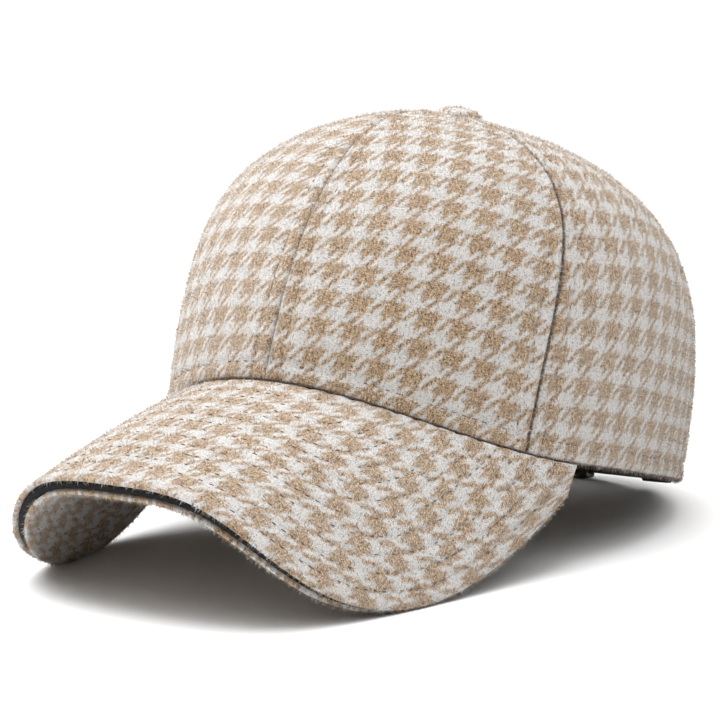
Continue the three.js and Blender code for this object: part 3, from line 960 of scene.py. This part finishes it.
def panel_rows():
    near = HEM_STEPS / PANEL_LENGTH
    return np.concatenate([near[:-1], np.linspace(near[-1], 1, PANEL_ROWS - len(near) + 1)])


def openness(turn):
    """How open a seam lies: the front seam is pressed flatter than the others."""
    return FRONT_SEAM_OPEN if turn % 360 == 0 else 1.0


def panel_depth(beside, opened, edge, across, distance, phase):
    """How the outer cloth lies out of the smooth wall: folds, puffs, stitched dents and slow waves."""
    seam = np.minimum(*beside)
    turned_in = np.maximum(*[fold(away, SEAM_FOLD * wide) for away, wide in zip(beside, opened)])
    depth = -np.maximum(turned_in, fold(edge, HEM_FOLD))
    depth += puff(seam, SEAM_PUFF)
    depth -= stitched_dent(seam - TOPSTITCH_OUT, distance, SEAM_DENT)
    depth += puff(edge, HEM_PUFF)
    depth -= stitched_dent(edge - RIM_ROW_UP, across, RIM_DENT)
    waves = waviness(np.stack([across, distance], -1), WAVE_SIZE, phase)
    return depth + WAVE_HEIGHT * waves * np.clip(edge / WAVE_FADE, 0, 1)


def seam_line(angle):
    shares = np.linspace(0, 1, 321)
    return crown_at(np.full_like(shares, angle), shares)


def arch_line():
    """The arch's outline, with its angles and how far up the wall it is."""
    turns = np.linspace(0, np.pi / 2, 60)
    x = np.concatenate([-ARCH_HALF_WIDTH * np.cos(turns) ** (2 / ARCH_ROUNDNESS), [0.0]])
    x = np.concatenate([x, -x[::-1][1:]])
    z = arch_height(x)
    angle = back_angle(x, z)
    share = shares_at_heights(angle, z)
    return crown_at(angle, share), angle, share * crown_length(angle)


def build_panel(panel, material):
    ends = (panel["from"], panel["to"])
    angles, starts = panel_columns(panel)
    tops = crown_length(angles) - TOP_HOLE
    distance = starts[:, None] + (tops - starts)[:, None] * panel_rows()
    turn = angles[:, None] + 0 * distance
    smooth = wall_point(turn, distance)
    column = (turn - ends[0]) / (ends[1] - ends[0])
    flat = read_flat(flat_panel(*ends), column, distance / crown_length(turn) / FLAT_TOP)
    seams = [seam_line(angle) for angle in ends]
    beside = [distance_to_line(smooth, line) for line in seams]
    opened = [openness(angle) for angle in ends]
    edge = distance
    if "back" in panel["name"]:
        edge = np.minimum(distance, distance_to_line(smooth, arch_line()[0]))
    depth = panel_depth(beside, opened, edge, flat[..., 0], distance, seams[0][0, 0] * WAVE_TURN)
    normal = wall_normal(turn, distance)
    outer = smooth + depth[..., None] * normal
    outer[0] += SEAM_GAP * unit(smooth[1] - smooth[0])
    outer[-1] -= SEAM_GAP * unit(smooth[-1] - smooth[-2])
    few = (slice(None, None, COARSER), slice(None, None, COARSER))
    inner = (outer - (depth + CROWN_WALL)[..., None] * normal)[few]
    points, faces = shell(outer, inner)
    weave = np.stack([flat[..., 0] + panel["across"], flat[..., 1] + panel["up"], 0 * distance], -1)
    weave = np.concatenate([weave.reshape(-1, 3), weave[few].reshape(-1, 3)])
    inside = np.zeros(len(points) - distance.size)
    near = np.minimum(np.minimum(*beside), distance)
    brushed = np.concatenate([fuzzy_edge(near).ravel(), inside])
    # Painted shade along the seams, weaker at the pressed front seam, and along the rim's edge
    dark = np.maximum(*[wide * bump(away, CREASE_SHADE_WIDTH * wide) for away, wide in zip(beside, opened)])
    dark = np.maximum(dark, bump(distance, CREASE_SHADE_WIDTH))
    creased = np.concatenate([dark.ravel(), inside])
    return make_piece(panel["name"] + "_cloth", points, faces, weave, material, brushed, creased)


# Button
def build_button(material):
    """A low covered dome with small gathers round its edge."""
    base = CROWN_HEIGHT + GAP
    turn = np.radians(np.concatenate([[-60, -30], np.arange(0, 90, 6)]))
    radius = BUTTON_RADIUS * np.cos(turn)
    radius = np.where(turn < 0, BUTTON_RADIUS - BUTTON_EDGE * (1 - np.cos(turn)), radius)
    height = BUTTON_EDGE + np.where(turn < 0, BUTTON_EDGE, BUTTON_HEIGHT - BUTTON_EDGE) * np.sin(turn)
    spin = np.linspace(0, 2 * np.pi, 72, endpoint=False)
    pinch = np.outer(np.cos(np.maximum(turn, 0)) ** 6, 0.5 + 0.5 * np.cos(BUTTON_GATHERS * spin))
    reach = radius[:, None] * (1 - BUTTON_PINCH * pinch)
    # The cloth turns under and in, over the hollow
    reach = np.concatenate([BUTTON_HOLLOW * reach[:1], reach])
    height = np.concatenate([height[:1], height])
    rings = np.stack([reach * np.cos(spin), APEX_SET_BACK + reach * np.sin(spin),
                      base + height[:, None] + 0 * reach], -1)
    points, faces = tube(rings)
    weave = points * np.array([1.0, 1.0, 0.0]) + BUTTON_PLACE
    brushed = np.where(points[:, 2] > base + BUTTON_EDGE / 2, 1.0, 0.0)
    return make_piece("crown_button_cloth", points, faces, weave, material, brushed)


# Peak
def peak_weave(side, share, table):
    """Cloth coordinates on the bent peak, for the rings of one of its cloths."""
    flat = read_flat(table, (side + 0 * share) / FLAT_SIDE / 2 + 0.5, share + 0 * side)
    return np.concatenate([flat, 0 * flat[..., :1]], -1)


def from_peak_edge(side, share):
    """How far places of the peak are from its outer edge."""
    edge = peak_point(np.linspace(-1, 1, 401), np.ones(401), 0.0)
    return distance_to_line(peak_point(side, share, 0.0), edge)


def build_peak_cloth(cloth, material, table):
    sign = cloth["side"]
    outer = GAP / 2 + PEAK_CLOTH
    step = TAPE_THICK / 2 + GAP
    nose = (outer - step) / 2
    side = peak_stations(cloth["columns"])[:, None]
    width = peak_width(side)
    share = np.linspace(0, 1, cloth["rows"]) * (1 - nose / width)
    inward = from_peak_edge(side, share)
    along = lengths_along(peak_point(side[:, 0], share[:, -1], 0.0))[:, None]
    row = np.abs((inward + PEAK_ROW_STEP / 2) % PEAK_ROW_STEP - PEAK_ROW_STEP / 2)
    depth = outer - (inward > PEAK_ROW_STEP / 2) * stitched_dent(row, along, PEAK_DENT)
    depth += puff(row, PEAK_PUFF)
    # Round the nose, then back along the tape and in between the two cloths
    turns = np.radians([60, 30, 0, -30, -60, -90])
    pocket = np.maximum(1 - (TAPE_DEPTH + GAP) / width, LEAST_POCKET)
    shares = [share, 1 - nose * (1 - np.cos(turns)) / width, pocket, pocket, pocket * 0.5, 0 * pocket]
    depths = [depth, step + nose + nose * np.sin(turns) + 0 * width, 0 * pocket + step]
    depths += [0 * pocket + GAP / 2] * 3
    brushed = fuzzy_edge(inward)
    brushed[:, :2] = 0
    share = np.concatenate(shares, 1)
    brushed = np.concatenate([brushed, np.zeros((len(side), share.shape[1] - brushed.shape[1]))], 1)
    brushed[:, cloth["rows"]:cloth["rows"] + 4] = 1 + EDGE_FUZZ
    rings = peak_point(side, share, sign * np.concatenate(depths, 1))
    points, faces = tube(rings)
    weave = peak_weave(side, share, table).reshape(-1, 3) * np.array([sign, 1, 1]) + cloth["place"]
    return make_piece(cloth["name"] + "_cloth", points, faces, weave, material, brushed.ravel())


def build_tape(material):
    side = peak_stations(TAPE_STATIONS)
    width = peak_width(side)[:, None]
    half = TAPE_THICK / 2
    inner = np.maximum(1 - TAPE_DEPTH / width, LEAST_POCKET + GAP / width)
    outer = 1 - TAPE_RECESS / width
    bend = inner * 0.5 + outer * 0.5 - TAPE_MIDDLE_BACK / width
    turns = np.radians(np.linspace(-90, 90, 9))
    share = np.concatenate([inner, bend, outer - TAPE_EDGE * (1 - np.cos(turns)) / width, bend, inner], 1)
    depth = np.concatenate([[-half, -half], half * np.sin(turns), [half, half]]) + 0 * share
    rings = peak_point(side[:, None], share, depth)
    points, faces = tube(rings)
    length = lengths_along(rings[:, share.shape[1] // 2])
    weave = np.stack([length[:, None] + 0 * share, depth, 0 * share], -1).reshape(-1, 3)
    return make_piece("peak_tape_woven", points, faces, weave, material)


# Band, strap and slide
def round_wall(name, angle, distance, depth, along, material):
    """A closed strip that follows the crown's wall, with its cloth laid along it."""
    distance, depth = distance + 0 * angle, depth + 0 * angle
    points, faces = tube(wall_point(angle, distance, depth))
    weave = np.stack([along + 0 * distance, distance, 0 * distance], -1).reshape(-1, 3)
    return make_piece(name, points, faces, weave, material)


def build_sweatband(material):
    low, high = -BAND_BELOW_RIM, BAND_HEIGHT - BAND_BELOW_RIM
    outer = -CROWN_WALL - BAND_GAP
    up = np.linspace(low, high, 40)
    edge = np.minimum(up - low, high - up)
    padding = BAND_PADDING * np.clip(edge / BAND_PADDING_IN, 0, 1)
    padded = outer - BAND_THICK + fold(edge, BAND_FOLD) - padding + puff(edge, BAND_GROOVE)
    sparse = np.linspace(high, low, 9)
    backing = outer - fold(np.minimum(sparse - low, high - sparse), BAND_BACK_FOLD)
    distance = np.concatenate([up, sparse])
    above = np.maximum(distance, 0)
    end = back_angle(arch_half_width(above) + BAND_FROM_ARCH, above)
    angle = end - 2 * end * np.linspace(0, 1, 281)[:, None]
    round_head = np.radians(angle) * (CROWN_FRONT + CROWN_BACK + 2 * CROWN_HALF_WIDTH) / 4
    depth = np.concatenate([padded, backing])
    return round_wall("sweatband_cloth", angle, distance, depth, round_head, material)


def build_strap(material):
    outer = -CROWN_WALL - 2 * BAND_GAP - BAND_THICK
    reach = math.degrees(math.asin((ARCH_HALF_WIDTH + STRAP_TUCK) / CROWN_HALF_WIDTH))
    up = np.linspace(0, STRAP_HEIGHT, 25) - STRAP_BELOW_RIM
    edge = np.minimum(up - up[0], up[-1] - up)
    worn = fold(edge, STRAP_FOLD) - puff(edge, STRAP_RIDGE)
    depth = np.concatenate([outer - STRAP_THICK + worn, (outer - worn)[::-1]])
    angle = np.linspace(180 - reach, 180 + reach, 121)[:, None] + 0 * depth
    along = np.radians(angle) * CROWN_HALF_WIDTH
    return round_wall("back_strap_webbing", angle, np.concatenate([up, up[::-1]]), depth, along, material)


def build_slide(material):
    """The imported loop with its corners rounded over."""
    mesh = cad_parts["strap_slide"].data.copy()
    work = bmesh.new()
    work.from_mesh(mesh)
    bmesh.ops.remove_doubles(work, verts=work.verts, dist=1e-6)
    bmesh.ops.dissolve_limit(work, angle_limit=math.radians(1), verts=work.verts, edges=work.edges)
    work.to_mesh(mesh)
    work.free()
    mesh.materials.clear()
    mesh.materials.append(material)
    piece = add_object("strap_slide_rounded", mesh)
    bevel = piece.modifiers.new("rounded", "BEVEL")
    bevel.width = SLIDE_BEVEL
    bevel.segments = 3
    bevel.limit_method = "ANGLE"
    keep_finished(piece, bevel)
    return piece


# Stitches and nap
def seam_stitch_lines(seam):
    """The two stitched rows beside a seam of the crown, as angles, distances up the wall and depths."""
    start = arch_line()[2].max() if seam == BACK_MIDDLE else 0.0
    length = crown_length(float(seam))
    distance = np.arange(start + STITCHED_FROM, length - STITCHED_TO, 0.001)
    around = [crown_at(seam + turn + 0 * distance, distance / length) for turn in (0.5, -0.5)]
    per_degree = np.linalg.norm(around[0] - around[1], axis=1)
    return [(seam + side * TOPSTITCH_OUT / per_degree, distance, -SEAM_SINK) for side in (-1, 1)]


def surface_lines():
    """Every stitched line of the seams and the rim, as points of the cloth and the directions out of it."""
    lines = [line for seam in range(0, 360, 60) for line in seam_stitch_lines(seam)]
    foot = 180 - back_angle(np.array(ARCH_HALF_WIDTH + RIM_ROW_UP), np.array(0.0))
    angle = np.linspace(-180 + foot, 180 - foot, 700)
    lines.append((angle, np.full_like(angle, RIM_ROW_UP), -RIM_SINK))
    return [(wall_point(a, d, depth), wall_normal(a, d)) for a, d, depth in lines]


def arch_stitch_line():
    """A stitched row beside the arch, one row's width out from its edge."""
    line, angle, distance = arch_line()
    normal = wall_normal(angle, distance)
    away = unit(np.cross(normal, unit(np.gradient(line, axis=0))))
    away *= np.sign((away * (line - line.mean(0))).sum(-1).mean())
    return line + RIM_ROW_UP * away - RIM_SINK * normal, normal


def peak_lines(sign):
    """Rows of stitches in the peak's upper or under cloth, each at one distance from its outer edge."""
    lines = []
    side = np.linspace(-0.97, 0.97, 320)
    share = np.linspace(0.0, 1, 90)
    inward = from_peak_edge(side[:, None], share)
    for reach in PEAK_ROW_STEP * np.arange(1, PEAK_ROWS + 1):
        held = np.flatnonzero(inward[:, 3] > reach)
        if len(held) < 12:
            break
        place = np.array([np.interp(-reach, -inward[i], share) for i in held])
        points = peak_point(side[held], place, sign * (GAP / 2 + PEAK_CLOTH - PEAK_SINK))
        lines.append((points, sign * peak_normal(side[held], place, peak_drop(side[held]))))
    return lines


def build_stitches(name, lines, tree, identifiers, settings, material):
    """One mesh of stitches along all the given lines, made by the stitch tree."""
    points = np.concatenate([at_rest(line[0]) for line in lines])
    outward = np.concatenate([at_rest(line[1]) for line in lines]) - at_rest(np.zeros((1, 3)))
    starts = np.cumsum([0] + [len(line[0]) for line in lines])
    edges = [(i, i + 1) for a, b in zip(starts, starts[1:]) for i in range(a, b - 1)]
    mesh = bpy.data.meshes.new(name + "_lines")
    mesh.from_pydata(points.tolist(), edges, [])
    add_attribute(mesh, "outward", outward)
    source = bpy.data.objects.new(name + "_lines", mesh)
    values = {"Pitch": settings.pitch, "Length": settings.length, "Thickness": settings.thickness,
              "Showing": settings.showing, "Seed": STITCH_SEED, "Material": material}
    piece = run_tree(source, tree, identifiers, values, name)
    bpy.data.objects.remove(source)
    return piece


def make_fibre():
    """One short fibre of unit length, three-sided, leaning to its pointed end."""
    turns = np.radians([0, 120, 240])
    base = [(FIBRE_RADIUS * math.cos(t), FIBRE_RADIUS * math.sin(t), -0.1) for t in turns]
    mesh = bpy.data.meshes.new("fibre")
    mesh.from_pydata(base + [(0.0, 0.3, 0.9)], [], [(2, 1, 0), (0, 1, 3), (1, 2, 3), (2, 0, 3)])
    return add_object("fibre", mesh)


def lift_off_floor(mesh):
    """Presses whatever hangs below the floor into the last half millimetre above it."""
    points = np.empty(len(mesh.vertices) * 3)
    mesh.vertices.foreach_get("co", points)
    height = points[2::3]
    low = height < FLOOR_ROOM
    height[low] = FLOOR_ROOM * np.exp(height[low] / FLOOR_ROOM - 1)
    mesh.vertices.foreach_set("co", points)


def build_nap(name, cloths, tree, identifiers, settings, density, material):
    """The loose fibres of a group of cloth pieces, as one mesh that carries their cloth coordinates."""
    joined = bpy.data.meshes.new(name + "_base")
    work = bmesh.new()
    for cloth in cloths:
        work.from_mesh(cloth.data)
    work.to_mesh(joined)
    work.free()
    source = bpy.data.objects.new(name + "_base", joined)
    fibre = make_fibre()
    values = {"Density": density, "Shortest": settings.nap_shortest, "Longest": settings.nap_longest,
              "Lean": settings.nap_lean, "Seed": NAP_SEED, "Fibre": fibre, "Material": material}
    piece = run_tree(source, tree, identifiers, values, name)
    lift_off_floor(piece.data)
    for thing in (source, fibre):
        bpy.data.objects.remove(thing)
    return piece


# Ties to the frame
def keep_piece(piece, slot, *nodes):
    """Ties a finished piece to the frame: its body, and hides the solids that it stands for; the material
    slot is not used.
    """
    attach(piece, "root")
    if nodes:
        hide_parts(*nodes)


# Stage
def add_softbox(name, place, power):
    """A square softbox that faces the cap."""
    light = bpy.data.lights.new(name, "AREA")
    light.shape = "SQUARE"
    light.size = SOFTBOX_SIZE
    light.energy = power
    look_at_cap(add_object(name, light), place)


def look_at_cap(thing, place):
    thing.location = place
    thing.rotation_euler = (CAMERA_TARGET - place).to_track_quat("-Z", "Y").to_euler()


def round_place(azimuth, height, distance):
    """A point round the cap: azimuth in degrees from its front towards the wearer's left."""
    turn, rise = math.radians(azimuth), math.radians(height)
    flat = distance * math.cos(rise)
    return CAMERA_TARGET + Vector((flat * math.sin(turn), -flat * math.cos(turn), distance * math.sin(rise)))


def add_floor(settings):
    material, tree, shader = new_material("pale_floor", 0.9, 0.0, 0.0, 0.1)
    near = tuple(0.985 * value for value in settings.floor)
    tone = blend_colours(tree, noise(tree, object_place(tree), 60.0), near, settings.floor)
    tree.links.new(tone, shader.inputs["Base Color"])
    mesh = bpy.data.meshes.new("floor")
    turns = [2 * math.pi * i / 96 for i in range(96)]
    rim = [(FLOOR_RADIUS * math.cos(turn), FLOOR_RADIUS * math.sin(turn), 0.0) for turn in turns]
    mesh.from_pydata(rim, [], [tuple(range(96))])
    mesh.materials.append(material)
    add_object("floor", mesh)


def surroundings(settings):
    """Plain light from all round, which gathers overhead, and comes back up from below."""
    world = bpy.data.worlds.new("surroundings")
    world.use_nodes = True
    sky = world.node_tree
    way = add_node(sky, "ShaderNodeTexCoord").outputs["Generated"]
    up = add_node(sky, "ShaderNodeSeparateXYZ", None, {0: way}).outputs[2]
    rise = maths(sky, "POWER", maths(sky, "MAXIMUM", up, 0.0), settings.gather)
    glow = stretch(sky, rise, 0.0, 1.0, settings.horizon, settings.zenith)
    glow = maths(sky, "ADD", glow, maths(sky, "LESS_THAN", up, 0.0))
    background = sky.nodes["Background"]
    background.inputs["Color"].default_value = (1, 1, 1, 1)
    sky.links.new(glow, background.inputs["Strength"])
    return world


def photo_camera():
    lens = bpy.data.cameras.new("photo_camera")
    lens.lens = CAMERA_LENS
    lens.sensor_width = SENSOR
    lens.clip_end = 100.0
    camera = add_object("photo_camera", lens)
    look_at_cap(camera, round_place(CAMERA_AZIMUTH, CAMERA_HEIGHT, CAMERA_DISTANCE))
    return camera


# Settings in the sidebar
def colour_setting(name, description, red, green, blue):
    return bpy.props.FloatVectorProperty(name=name, description=description, default=(red, green, blue, 1.0),
                                         size=4, min=0, max=1, subtype="COLOR")


def length_setting(name, description, default, least=0.0, most=0.01):
    return bpy.props.FloatProperty(name=name, description=description, default=default, min=least, max=most,
                                   precision=5, unit="LENGTH")


def share_setting(name, description, default):
    return bpy.props.FloatProperty(name=name, description=description, default=default, min=0, max=1,
                                   subtype="FACTOR")


def number_setting(name, description, default, least, most):
    return bpy.props.FloatProperty(name=name, description=description, default=default, min=least, max=most)


class CapCloth(bpy.types.PropertyGroup):
    repeat_across: length_setting("Repeat across", "Width of one repeat of the check", 0.01095, 0.002, 0.1)
    repeat_up: length_setting("Repeat up", "Height of one repeat of the check", 0.00955, 0.002, 0.1)
    feather: number_setting("Feathering", "Softness of the check's edges, in threads", 0.4, 0.01, 1)
    tan_spread: number_setting("Tan spread", "How far tan outgrows cream, in threads", 0.22, -1, 1)
    tan: colour_setting("Tan", "Colour of the check's tan threads", 0.41, 0.282, 0.168)
    tan_warm: colour_setting("Tan warm", "Colour that the tan drifts to in places", 0.40, 0.262, 0.148)
    tan_shade: colour_setting("Tan shade", "Darker fibres in the tan threads", 0.075, 0.034, 0.012)
    tan_light: colour_setting("Tan light", "Lighter fibres in the tan threads", 0.68, 0.53, 0.355)
    cream: colour_setting("Cream", "Colour of the check's pale threads", 0.685, 0.665, 0.643)
    cream_shade: colour_setting("Cream shade", "Darker fibres in the pale threads", 0.27, 0.225, 0.18)
    # Painted shade: the dark brown of the seams and the rim's edge
    painted_crease_colour: colour_setting("Crease", "Colour deep in the seams and under the rim", 0.13, 0.058, 0.018)
    fleck: colour_setting("Fleck", "Colour of the small dark flecks", 0.20, 0.10, 0.05)
    sheen: share_setting("Nap sheen", "How much the brushed nap lightens at grazing angles", 0.6)
    nap_shortest: length_setting("Shortest fibre", "Length of the shortest loose fibres", 0.0007)
    nap_longest: length_setting("Longest fibre", "Length of the longest loose fibres", 0.0019)
    nap_lean: bpy.props.FloatProperty(name="Fibre lean", description="How far the loose fibres may lean over",
                                      default=1.45, min=0, max=1.5, unit="ROTATION")
    crown_nap: number_setting("Crown fibres", "Fibres to a square metre of the crown", 900000, 0, 2000000)
    peak_nap: number_setting("Peak fibres", "Fibres to a square metre of the peak", 900000, 0, 2000000)


class CapTrim(bpy.types.PropertyGroup):
    pitch: length_setting("Stitch pitch", "Distance from one stitch to the next", STITCH_PITCH, 0.001)
    length: length_setting("Stitch length", "Length of each stitch that shows", 0.0018, 0.0005)
    thickness: length_setting("Thread thickness", "Thickness of the sewing thread", 0.00038, 0.0001, 0.002)
    showing: share_setting("Stitches showing", "Share of stitches that the nap leaves bare", 0.5)
    # The thread's dark brown is partly its own colour and partly painted shade of its stitch holes
    thread_and_hole_shade: colour_setting("Thread", "Colour of the sewing thread", 0.22, 0.13, 0.07)
    thread_shade: colour_setting("Thread shade", "Darker twist of the thread", 0.10, 0.055, 0.03)
    black: colour_setting("Black", "Colour of the tape and the sweatband", 0.004, 0.004, 0.0045)
    black_ridge: colour_setting("Black ridge", "Colour on the ribs of the black weave", 0.014, 0.0135, 0.014)
    webbing: colour_setting("Webbing", "Colour of the strap", 0.030, 0.023, 0.019)
    webbing_ridge: colour_setting("Webbing ridge", "Colour on the strap's ribs", 0.085, 0.068, 0.055)
    metal: colour_setting("Slide", "Colour of the slide's blackened brass", 0.030, 0.026, 0.022)
    metal_rubbed: colour_setting("Slide rubbed", "Colour of the slide where it is worn", 0.085, 0.072, 0.055)


class CapStage(bpy.types.PropertyGroup):
    floor: colour_setting("Floor", "Colour of the floor", 0.85, 0.85, 0.85)
    horizon: number_setting("Horizon", "Brightness of the plain surroundings low down", 0.10, 0, 5)
    zenith: number_setting("Zenith", "Brightness of the plain surroundings overhead", 3.0, 0, 5)
    gather: number_setting("Gathering", "How much the brightness gathers overhead", 2.8, 0.5, 8)
    key: number_setting("Key softbox", "Power of the softbox on the cap's right", 22, 0, 500)
    top: number_setting("Top softbox", "Power of the softbox above", 14, 0, 500)


# Steps of the build
def shared_material(name, build, *values):
    """The material of that name, built the first time that it is asked for."""
    return bpy.data.materials.get(name) or build(*values)


def cap_cloth():
    return shared_material(CLOTH_LOOK, cloth_material, bpy.context.scene.cap_cloth)


def ribbed_weave(name, colour, ridge):
    return shared_material(name, ribbed_material, name, colour, ridge)


def check_crown_shape():
    """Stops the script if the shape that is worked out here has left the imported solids."""
    low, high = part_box("crown_front_left")
    angles, shares = np.meshgrid(np.linspace(0, 60, 61), np.linspace(0, 1, 101), indexing="ij")
    points = at_rest(crown_at(angles, shares)).reshape(-1, 3)
    gap = abs(points[:, 1].min() - low[1]) + abs(points[:, 0].max() - high[0])
    if gap > SHAPE_TOLERANCE:
        raise RuntimeError("the crown's shape is %.4f m from the packed solids" % gap)


class CAP_OT_stage(bpy.types.Operator):
    """Adds the floor, the surroundings, the softboxes and the camera"""
    bl_idname = "cap.stage"
    bl_label = "Stage"

    def execute(self, context):
        settings = context.scene.cap_stage
        add_floor(settings)
        context.scene.world = surroundings(settings)
        for name, place in SOFTBOXES.items():
            add_softbox(name + "_softbox", round_place(*place), getattr(settings, name))
        context.scene.camera = photo_camera()
        context.scene.view_settings.view_transform = "Standard"
        return {"FINISHED"}


class CAP_OT_crown(bpy.types.Operator):
    """Builds the six cloth panels of the crown, with their seams, folded rim and arch"""
    bl_idname = "cap.crown"
    bl_label = "Crown panels"

    def execute(self, context):
        check_crown_shape()
        for panel in PANELS:
            keep_piece(build_panel(panel, cap_cloth()), "houndstooth_cloth", panel["name"])
        return {"FINISHED"}


class CAP_OT_button(bpy.types.Operator):
    """Builds the covered button on top"""
    bl_idname = "cap.button"
    bl_label = "Button"

    def execute(self, context):
        keep_piece(build_button(cap_cloth()), "houndstooth_cloth", "crown_button")
        return {"FINISHED"}


class CAP_OT_peak(bpy.types.Operator):
    """Builds the upper and lower cloth of the peak, with their rows of stitching"""
    bl_idname = "cap.peak"
    bl_label = "Peak cloths"

    def execute(self, context):
        table = flat_peak()
        for cloth in PEAK_CLOTHS:
            keep_piece(build_peak_cloth(cloth, cap_cloth(), table), "houndstooth_cloth", cloth["name"])
        return {"FINISHED"}


class CAP_OT_tape(bpy.types.Operator):
    """Builds the plain black tape in the peak's edge"""
    bl_idname = "cap.tape"
    bl_label = "Edge tape"

    def execute(self, context):
        trim = context.scene.cap_trim
        weave = ribbed_weave("edge_tape_weave", trim.black, trim.black_ridge)
        keep_piece(build_tape(weave), "edge_tape", "peak_tape")
        return {"FINISHED"}


class CAP_OT_band(bpy.types.Operator):
    """Builds the sweatband inside the rim"""
    bl_idname = "cap.band"
    bl_label = "Sweatband"

    def execute(self, context):
        trim = context.scene.cap_trim
        weave = ribbed_weave("sweatband_weave", trim.black, trim.black_ridge)
        keep_piece(build_sweatband(weave), "band_cloth", "sweatband")
        return {"FINISHED"}


class CAP_OT_strap(bpy.types.Operator):
    """Builds the strap across the back arch and its slide"""
    bl_idname = "cap.strap"
    bl_label = "Strap and slide"

    def execute(self, context):
        trim = context.scene.cap_trim
        webbing = ribbed_weave("ribbed_webbing", trim.webbing, trim.webbing_ridge)
        keep_piece(build_strap(webbing), "strap_webbing", "back_strap")
        metal = shared_material(METAL_LOOK, metal_material, trim)
        keep_piece(build_slide(metal), "slide_metal", "strap_slide")
        return {"FINISHED"}


class CAP_OT_stitches(bpy.types.Operator):
    """Sews the rows of stitches along the seams, the rim, the arch and the peak"""
    bl_idname = "cap.stitches"
    bl_label = "Stitches"

    def execute(self, context):
        trim = context.scene.cap_trim
        thread = shared_material(THREAD_LOOK, thread_material, trim)
        tree, identifiers = stitch_tree()
        rows = {"crown_stitches": surface_lines() + [arch_stitch_line()]}
        for cloth in PEAK_CLOTHS:
            rows[cloth["name"] + "_stitches"] = peak_lines(cloth["side"])
        for name, lines in rows.items():
            keep_piece(build_stitches(name, lines, tree, identifiers, trim, thread), "houndstooth_cloth")
        return {"FINISHED"}


class CAP_OT_nap(bpy.types.Operator):
    """Brushes up the loose fibres of the cloth"""
    bl_idname = "cap.nap"
    bl_label = "Nap"

    def execute(self, context):
        settings = context.scene.cap_cloth
        tree, identifiers = nap_tree()
        panels = [panel["name"] for panel in PANELS]
        groups = (("crown_left_nap", panels[:3], settings.crown_nap),
                  ("crown_right_nap", panels[3:] + ["crown_button"], settings.crown_nap),
                  ("peak_nap", [cloth["name"] for cloth in PEAK_CLOTHS], settings.peak_nap))
        for name, nodes, density in groups:
            cloths = [bpy.data.objects[node + "_cloth"] for node in nodes]
            piece = build_nap(name, cloths, tree, identifiers, settings, density, cap_cloth())
            keep_piece(piece, "houndstooth_cloth")
        return {"FINISHED"}


OPERATORS = [CAP_OT_stage, CAP_OT_crown, CAP_OT_button, CAP_OT_peak, CAP_OT_tape, CAP_OT_band, CAP_OT_strap,
             CAP_OT_stitches, CAP_OT_nap]
GROUPS = {"cap_cloth": CapCloth, "cap_trim": CapTrim, "cap_stage": CapStage}


class CAP_PT_sidebar(bpy.types.Panel):
    """Lists the cap's settings and the steps that build it"""
    bl_idname = "CAP_PT_sidebar"
    bl_label = "Houndstooth cap"
    bl_space_type = "VIEW_3D"
    bl_region_type = "UI"
    bl_category = "Cap"

    def draw(self, context):
        for name, group in GROUPS.items():
            box = self.layout.box()
            for value in group.__annotations__:
                box.prop(getattr(context.scene, name), value)
        for operator in OPERATORS:
            self.layout.operator(operator.bl_idname)


def register():
    for group in GROUPS.values():
        bpy.utils.register_class(group)
    for operator in OPERATORS:
        bpy.utils.register_class(operator)
    bpy.utils.register_class(CAP_PT_sidebar)
    for name, group in GROUPS.items():
        setattr(bpy.types.Scene, name, bpy.props.PointerProperty(type=group))


def unregister():
    for name in GROUPS:
        delattr(bpy.types.Scene, name)
    bpy.utils.unregister_class(CAP_PT_sidebar)
    for operator in reversed(OPERATORS):
        bpy.utils.unregister_class(operator)
    for group in reversed(list(GROUPS.values())):
        bpy.utils.unregister_class(group)


def main():
    register()
    bpy.ops.cap.stage()
    bpy.ops.cap.crown()
    bpy.ops.cap.button()
    bpy.ops.cap.peak()
    bpy.ops.cap.tape()
    bpy.ops.cap.band()
    bpy.ops.cap.strap()
    bpy.ops.cap.stitches()
    bpy.ops.cap.nap()


if __name__ == "__main__":
    main()
